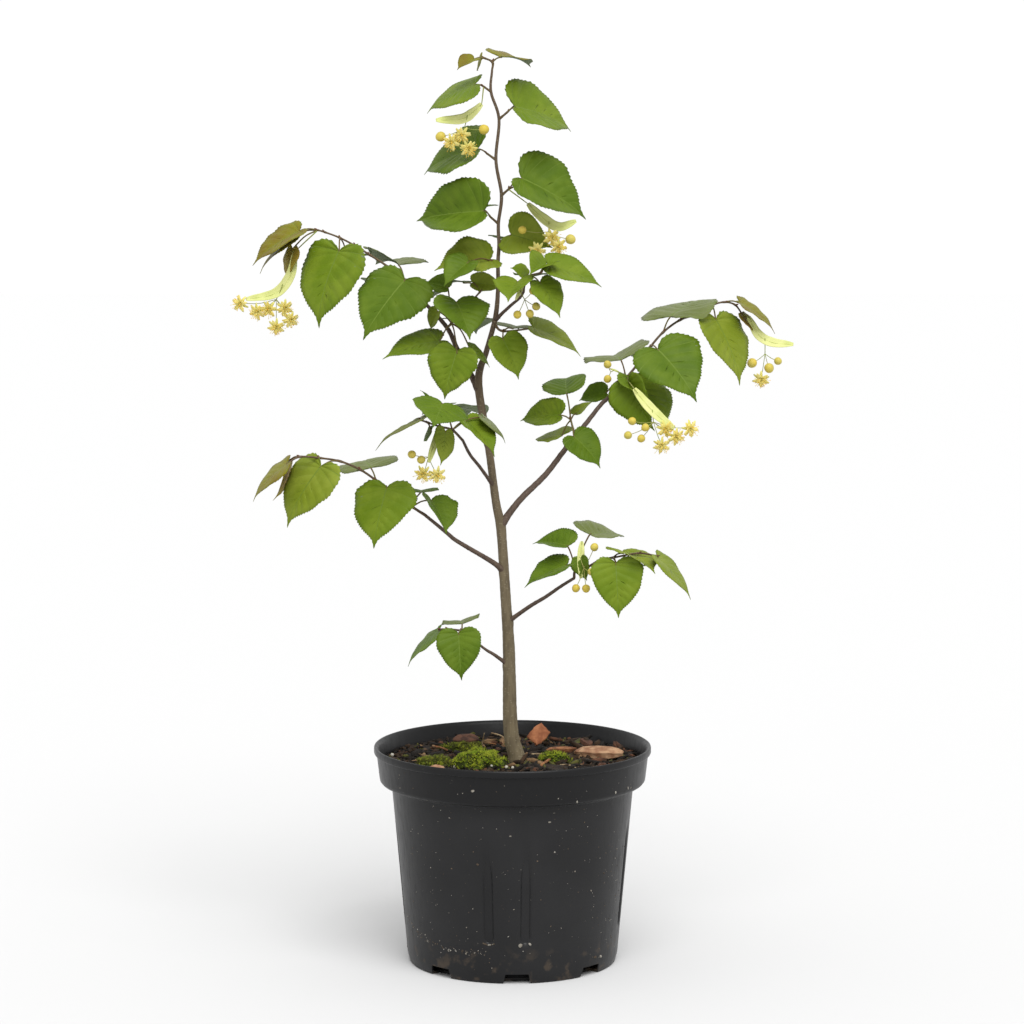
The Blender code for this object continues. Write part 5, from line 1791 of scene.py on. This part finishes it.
    def cut_slots(self, mesh: bpy.types.Mesh) -> bpy.types.Mesh:
        """Open the drainage slots.

        Args:
            mesh: The turned pot.

        Returns:
            The cut mesh.
        """
        shell = placed("pot_blank", mesh)
        cutters = [self.slot_cutter(index) for index in range(self.slots)]
        for cutter in cutters:
            cut = shell.modifiers.new("slot", "BOOLEAN")
            cut.operation = "DIFFERENCE"
            cut.object = cutter
        bpy.context.view_layer.update()
        graph = bpy.context.evaluated_depsgraph_get()
        done = bpy.data.meshes.new_from_object(shell.evaluated_get(graph))
        for thing in cutters + [shell]:
            bpy.data.objects.remove(thing, do_unlink=True)
        return done

    def wall_radius(self, high: float) -> float:
        """Find the outer radius at a height.

        Args:
            high: The height.

        Returns:
            The radius.
        """
        if high > self.band_height:
            share = (high - self.band_height) / (self.height - 8.5 - self.band_height)
            return self.band_low + (self.band_top - self.band_low) * share
        share = (self.band_height - 5.0 - high) / (self.band_height - 18.0)
        return self.wall_top + (self.wall_low - self.wall_top) * max(0.0, share)

    def mark_places(self, rng: random.Random) -> list[tuple[float, float, float]]:
        """Deal out the flakes: splashes, fine dust, a tide line and a pale crescent at the foot of
        the left flute, which is a painted highlight.

        Args:
            rng: The random source of the marks.

        Returns:
            Each flake as (degrees from the front, height, size).
        """
        spots = list(self.splashes)
        for _ in range(self.fine_flakes):
            spots.append((rng.uniform(-180, 180), rng.uniform(8, 210),
                          0.25 + 0.5 * rng.random() ** 2))
        for (turn, high), (to_turn, to_high) in zip(self.tide, self.tide[1:]):
            for _ in range(self.tide_flakes):
                share = rng.random()
                spots.append((turn + (to_turn - turn) * share,
                              high + (to_high - high) * share + rng.gauss(0, 1.6),
                              rng.uniform(0.3, 0.8)))
        for _ in range(self.side_flakes):
            spots.append((rng.uniform(52, 80), rng.uniform(25, 125), rng.uniform(0.3, 0.8)))
        # Painted highlight: a pale crescent of flakes at the rounded foot of the left flute, where
        # the groove catches the light.
        for step in range(self.highlight_crescent):
            spots.append((self.flutes[0] - 2.8 + 0.7 * step,
                          self.flute_from + 0.08 * (step - 4) ** 2, 0.9))
        return spots

    def add_marks(self) -> None:
        """Lay small flakes of dust and dried soil on the wall, with a crescent of them as a
        painted highlight at the foot of the left flute.
        """
        rng = rng_for("pot_marks")
        heap = Heap()
        for angle, high, size in self.mark_places(rng):
            turn = math.radians(angle - 90.0)
            radius = self.wall_radius(high) - self.flute(angle, high) + self.flake_lift
            out = np.array([math.cos(turn), math.sin(turn), 0.1])
            shape, faces = ball(7, 3)
            shape = shape * np.array([rng.uniform(0.6, 1.3), rng.uniform(0.5, 1.0), 0.22]) * size
            shape += 0.15 * size * scatter(rng, len(shape), -1, 1) * (1, 1, 0.3)
            place = out * np.array([radius, radius, 0.0]) + np.array([0, 0, high])
            kind = 0 if rng.random() < 0.5 else 1
            heap.add(turned_to(shape, out, rng.uniform(0, 6)) + place, faces, kind)
        heap.piece("pot_dust", [DUST_PALE, DUST_EARTH], "pot_plastic")


@dataclass
class SoilBed:
    """The soil's surface: peat, bark crumbs, perlite, sticks, bark pieces and moss."""

    radius: float = 132.4
    rings: int = 44
    sides: int = 120
    crumbs: int = 1900
    crumb_weights: tuple = (46, 26, 9, 6, 9)
    perlite: tuple = ((-57, -52, 2.1), (-21, -50, 1.7), (-6, -54, 1.8), (0, -56, 1.5),
                      (-122, 10, 1.9), (86, 40, 2.2), (92, 36, 1.8), (100, 20, 1.6))
    tufts: int = 2200
    shoots: int = 6
    moss_rise: float = 1.15
    moss_lumps: float = 0.16
    moss_lump_size: float = 0.7
    moss_scale: float = 0.93
    chip_cuts: int = 6
    sticks: tuple = (
        ((-22, 96, 214), (-4, 84, 208), 0.9), ((-62, 30, 206), (-80, 34, 212), 1.2),
        ((-32, 60, 204), (-29, 52, 222), 0.8), ((28, -40, 206), (46, 4, 208), 1.6),
        ((48, -30, 205), (64, -52, 206), 1.0), ((-92, 6, 204), (-70, -20, 208), 1.2),
        ((20, 20, 206), (48, 6, 207), 1.3), ((-10, 66, 205), (-24, 54, 211), 1.0),
    )

    def ground(self, x: np.ndarray, y: np.ndarray) -> np.ndarray:
        """Find the height of the peat above the solid soil's top.

        Args:
            x: Places across.
            y: Places in depth.

        Returns:
            One height a place.
        """
        places = np.column_stack([x, y, np.zeros(len(x))])
        rough = ripple(places, 60.0, "bed_swells") * 1.2 + ripple(places, 14.0, "bed_lumps") * 0.9
        return 1.8 + rough

    def build(self) -> None:
        """Build the surface and all that lies on it."""
        self.add_ground()
        self.add_crumbs()
        self.add_moss()
        self.add_chips()
        self.add_sticks()

    def add_ground(self) -> None:
        """Lay the uneven sheet of peat over the solid soil."""
        rings, sides = self.rings, self.sides
        shares = np.linspace(0.0, 1.0, rings + 1)[1:]
        angles = np.arange(sides) * math.tau / sides
        x = np.concatenate([[0.0], np.outer(shares, np.cos(angles)).ravel() * self.radius])
        y = np.concatenate([[0.0], np.outer(shares, np.sin(angles)).ravel() * self.radius])
        high = SOIL_HEIGHT + np.maximum(self.ground(x, y), 0.15)
        far = np.hypot(x, y) / self.radius
        high = np.where(far > 0.985, SOIL_HEIGHT + 0.1, high)
        faces = []
        for side in range(sides):
            after = (side + 1) % sides
            faces.append([0, 1 + side, 1 + after])
            for ring in range(rings - 1):
                low, top = 1 + ring * sides, 1 + (ring + 1) * sides
                faces.append([low + side, top + side, top + after, low + after])
        heap = Heap()
        heap.add(np.column_stack([x, y, high]), faces)
        heap.piece("soil_surface", [SOIL], "soil")
        base = bpy.data.objects["soil"]
        base.data.materials.clear()
        base.data.materials.append(SOIL.worn())

    def add_crumbs(self) -> None:
        """Scatter crumbs of bark and peat with a few grains of perlite."""
        rng = rng_for("crumbs")
        heap = Heap()
        for _ in range(self.crumbs):
            angle, far = rng.uniform(0, math.tau), math.sqrt(rng.random()) * (self.radius - 4.0)
            x, y = far * math.cos(angle), far * math.sin(angle)
            size = rng.uniform(1.1, 3.2) if rng.random() < 0.86 else rng.uniform(3.0, 6.0)
            shape, faces = ball(5, 2)
            jitter = scatter(rng, len(shape), 0.7, 1.3)
            long = rng.uniform(1.0, 2.9)
            shape = shape * jitter * np.array([long, rng.uniform(0.5, 0.9), 0.5]) * size
            lean = np.array([rng.uniform(-0.7, 0.7), rng.uniform(-0.7, 0.7), 1.0])
            high = SOIL_HEIGHT + 1.6 + size * 0.3
            slot = rng.choices(range(5), weights=self.crumb_weights)[0]
            spot = turned_to(shape, lean, rng.uniform(0, 6)) + np.array([x, y, high])
            heap.add(spot, faces, slot)
        for x, y, size in self.perlite:
            shape, faces = ball(8, 4)
            jitter = scatter(rng, len(shape), 0.8, 1.2)
            heap.add(shape * jitter * size + np.array([x, y, SOIL_HEIGHT + 4.5]), faces, 5)
        heap.piece("soil_crumbs", CRUMBS, "soil")

    def add_moss(self) -> None:
        """Grow each cushion as a dark dome that is covered in short pointed shoots."""
        heap = Heap()
        rng = rng_for("moss")
        total = sum(cushion.size[0] * cushion.size[1] for cushion in MOSS)
        for cushion in MOSS:
            across, deep, high = cushion.size
            reach = np.array([across * 0.5, deep * 0.5, high * self.moss_rise])
            spin = turn_z(math.radians(cushion.turn))
            centre = np.array([*cushion.place, SOIL_HEIGHT + 0.4])
            shape, faces = ball(26, 13)
            shape[:, 2] = np.clip(shape[:, 2], 0, None)
            lumps = ripple(shape, self.moss_lump_size, cushion.name)
            dome = shape * (1.0 + self.moss_lumps * lumps)[:, None] * reach * self.moss_scale
            heap.add(dome @ spin + centre, faces, 2)
            for _ in range(int(self.tufts * across * deep / total)):
                angle, far = rng.uniform(0, math.tau), math.sqrt(rng.random())
                lift = math.sqrt(max(1.0 - far * far, 0.0))
                way = np.array([far * math.cos(angle), far * math.sin(angle), lift])
                lump = float(ripple(way[None, :], self.moss_lump_size, cushion.name)[0])
                place = way * (1.0 + self.moss_lumps * lump) * reach * self.moss_scale
                self.add_tuft(heap, place @ spin + centre, way @ spin, cushion.bright, rng)
        heap.piece("moss_cushions", [MOSS_BRIGHT, MOSS_DULL, MOSS_BASE], "moss",
                   [cushion.name for cushion in MOSS])

    def add_tuft(self, heap: Heap, place: np.ndarray, way: np.ndarray, bright: bool,
                 rng: random.Random) -> None:
        """Add one tuft of pointed moss shoots.

        Args:
            heap: Where it goes.
            place: Its foot.
            way: The way that it grows.
            bright: Whether its cushion is a bright one.
            rng: The random source of the moss.
        """
        slot = (0 if rng.random() < 0.72 else 1) if bright else (1 if rng.random() < 0.8 else 0)
        for _ in range(self.shoots):
            lean = unit(way + np.array([rng.gauss(0, 0.55) for _ in range(3)])
                        + np.array([0, 0, 0.5]))
            length = rng.uniform(1.6, 4.4)
            width = rng.uniform(0.26, 0.5)
            side = unit(np.cross(lean, (0.3, 0.8, 0.1))) * width
            other = unit(np.cross(lean, side)) * width
            corners = np.array([place + side, place - side * 0.5 + other * 0.87,
                                place - side * 0.5 - other * 0.87, place + lean * length])
            heap.add(corners, [[0, 1, 3], [1, 2, 3], [2, 0, 3], [0, 2, 1]], slot)

    def chip_blank(self) -> Shape:
        """Make the finely divided block that a piece of bark is shaped from.

        Returns:
            Corners and faces.
        """
        bm = bmesh.new()
        bmesh.ops.create_cube(bm, size=1.0)
        bmesh.ops.subdivide_edges(bm, edges=bm.edges[:], cuts=self.chip_cuts, use_grid_fill=True)
        corners = np.array([vert.co[:] for vert in bm.verts])
        faces = [[vert.index for vert in face.verts] for face in bm.faces]
        bm.free()
        return corners, faces

    def add_chips(self) -> None:
        """Lay the larger pieces of bark."""
        heap = Heap()
        for chip in CHIPS:
            rng = rng_for(chip.name)
            corners, faces = self.chip_blank()
            corners[:, 1] *= 1.0 - 0.45 * np.abs(corners[:, 0]) * rng.uniform(0.6, 1.2)
            if chip.finish:
                taper = 1.0 - 0.6 * np.abs(2.0 * corners[:, 0]) ** 4
                corners[:, 1:] *= taper[:, None]
            corners = corners * np.array(chip.size) * (1.0 if chip.finish else 0.86)
            seam = ripple(corners * np.array([0.25, 1.0, 1.0]), 5.0, chip.name)
            corners[:, 2] += 0.35 * seam
            corners[:, :2] += 0.6 * np.column_stack([
                ripple(corners, 6.0, chip.name + "_x"), ripple(corners, 6.0, chip.name + "_y")])
            roll, tilt, turn = (math.radians(value) for value in (chip.roll, chip.tilt, chip.turn))
            about_x = np.array([[1, 0, 0], [0, math.cos(tilt), math.sin(tilt)],
                                [0, -math.sin(tilt), math.cos(tilt)]])
            spots = corners @ turn_z(roll) @ about_x @ turn_z(turn)
            spots[:, 2] += SOIL_HEIGHT + (2.0 if chip.finish else 4.0) - spots[:, 2].min()
            spots[:, :2] += chip.place
            heap.add(spots, faces, chip.finish)
        heap.piece("bark_pieces", BARK_PIECES, "bark_chip", [chip.name for chip in CHIPS])

    def add_sticks(self) -> None:
        """Lay a few thin dry sticks."""
        heap = Heap()
        for index, (start, end, radius) in enumerate(self.sticks):
            rng = rng_for(f"stick_{index}")
            middle = (np.array(start, float) + np.array(end, float)) / 2
            middle += np.array([rng.uniform(-2, 2), rng.uniform(-2, 2), rng.uniform(0, 2)])
            line = spline([start, middle, end], 2.0)
            heap.add(*tube(line, np.linspace(radius, radius * 0.6, len(line)), 7), index % 2)
        heap.piece("soil_sticks", STICKS, "soil")


@dataclass
class Studio:
    """A pale floor, soft even light and the camera."""

    eye: Point = (0.0, -3200.0, 830.0)
    pitch: float = 6.65
    focal_pixels: float = 3212.0
    image_pixels: float = 1024.0
    sensor: float = 36.0
    shift_pixels: float = -0.5
    sky: float = 1.02
    sun: float = 2.6
    sun_turn: float = 14.0
    sun_rise: float = 56.0
    sun_width: float = 42.0
    floor: float = 0.585
    floor_reach: float = 14.0

    def build(self) -> None:
        """Set up the floor, the sun, the sky and the camera."""
        self.add_floor()
        self.add_sun()
        world = bpy.data.worlds.new("studio_world")
        world.use_nodes = True
        sky = world.node_tree.nodes["Background"]
        sky.inputs["Color"].default_value = (1.0, 1.0, 1.0, 1.0)
        sky.inputs["Strength"].default_value = self.sky
        bpy.context.scene.world = world
        bpy.context.scene.view_settings.view_transform = "Standard"
        data = bpy.data.cameras.new("portrait_camera")
        data.sensor_width = self.sensor
        data.lens = self.sensor * self.focal_pixels / self.image_pixels
        data.shift_x = self.shift_pixels / self.image_pixels
        camera = placed("portrait_camera", data)
        camera.location = Vector(self.eye) * MM
        camera.rotation_euler = (math.pi / 2 - math.radians(self.pitch), 0.0, 0.0)
        bpy.context.scene.camera = camera

    def add_floor(self) -> None:
        """Lay the pale floor."""
        mesh = bpy.data.meshes.new("studio_floor")
        far = self.floor_reach
        mesh.from_pydata([(-far, -far, 0), (far, -far, 0), (far, far, 0), (-far, far, 0)],
                         [], [(0, 1, 2, 3)])
        floor = placed("studio_floor", mesh)
        recipe = Recipe("studio_floor_finish")
        mesh.materials.append(recipe.finish((self.floor,) * 3, 0.9, 0.0))

    def add_sun(self) -> None:
        """Hang one wide soft sun above, in front and a little to the right."""
        data = bpy.data.lights.new("soft_sun", "SUN")
        data.energy = self.sun
        data.angle = math.radians(self.sun_width)
        lamp = placed("soft_sun", data)
        lamp.rotation_euler = (math.radians(90.0 - self.sun_rise), 0.0,
                               math.radians(self.sun_turn))


def main() -> None:
    """Build each sub-assembly in turn."""
    logging.basicConfig(level=logging.INFO, format="%(message)s")
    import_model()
    NurseryPot().build()
    LOG.info("pot built")
    SoilBed().build()
    LOG.info("soil built")
    trunk = Trunk(TRUNK_LINE)
    trunk.build(BOUGHS)
    boughs = Boughs(BOUGHS).build(trunk)
    LOG.info("trunk and boughs built")
    Crown(SPRAYS).build(trunk, boughs)
    LOG.info("crown built")
    Studio().build()
    LOG.info("studio built")


def plain(box: Sequence) -> list:
    """A box as plain lists of numbers."""
    return [[float(value) for value in corner] for corner in box]


if __name__ == "__main__":
    main()
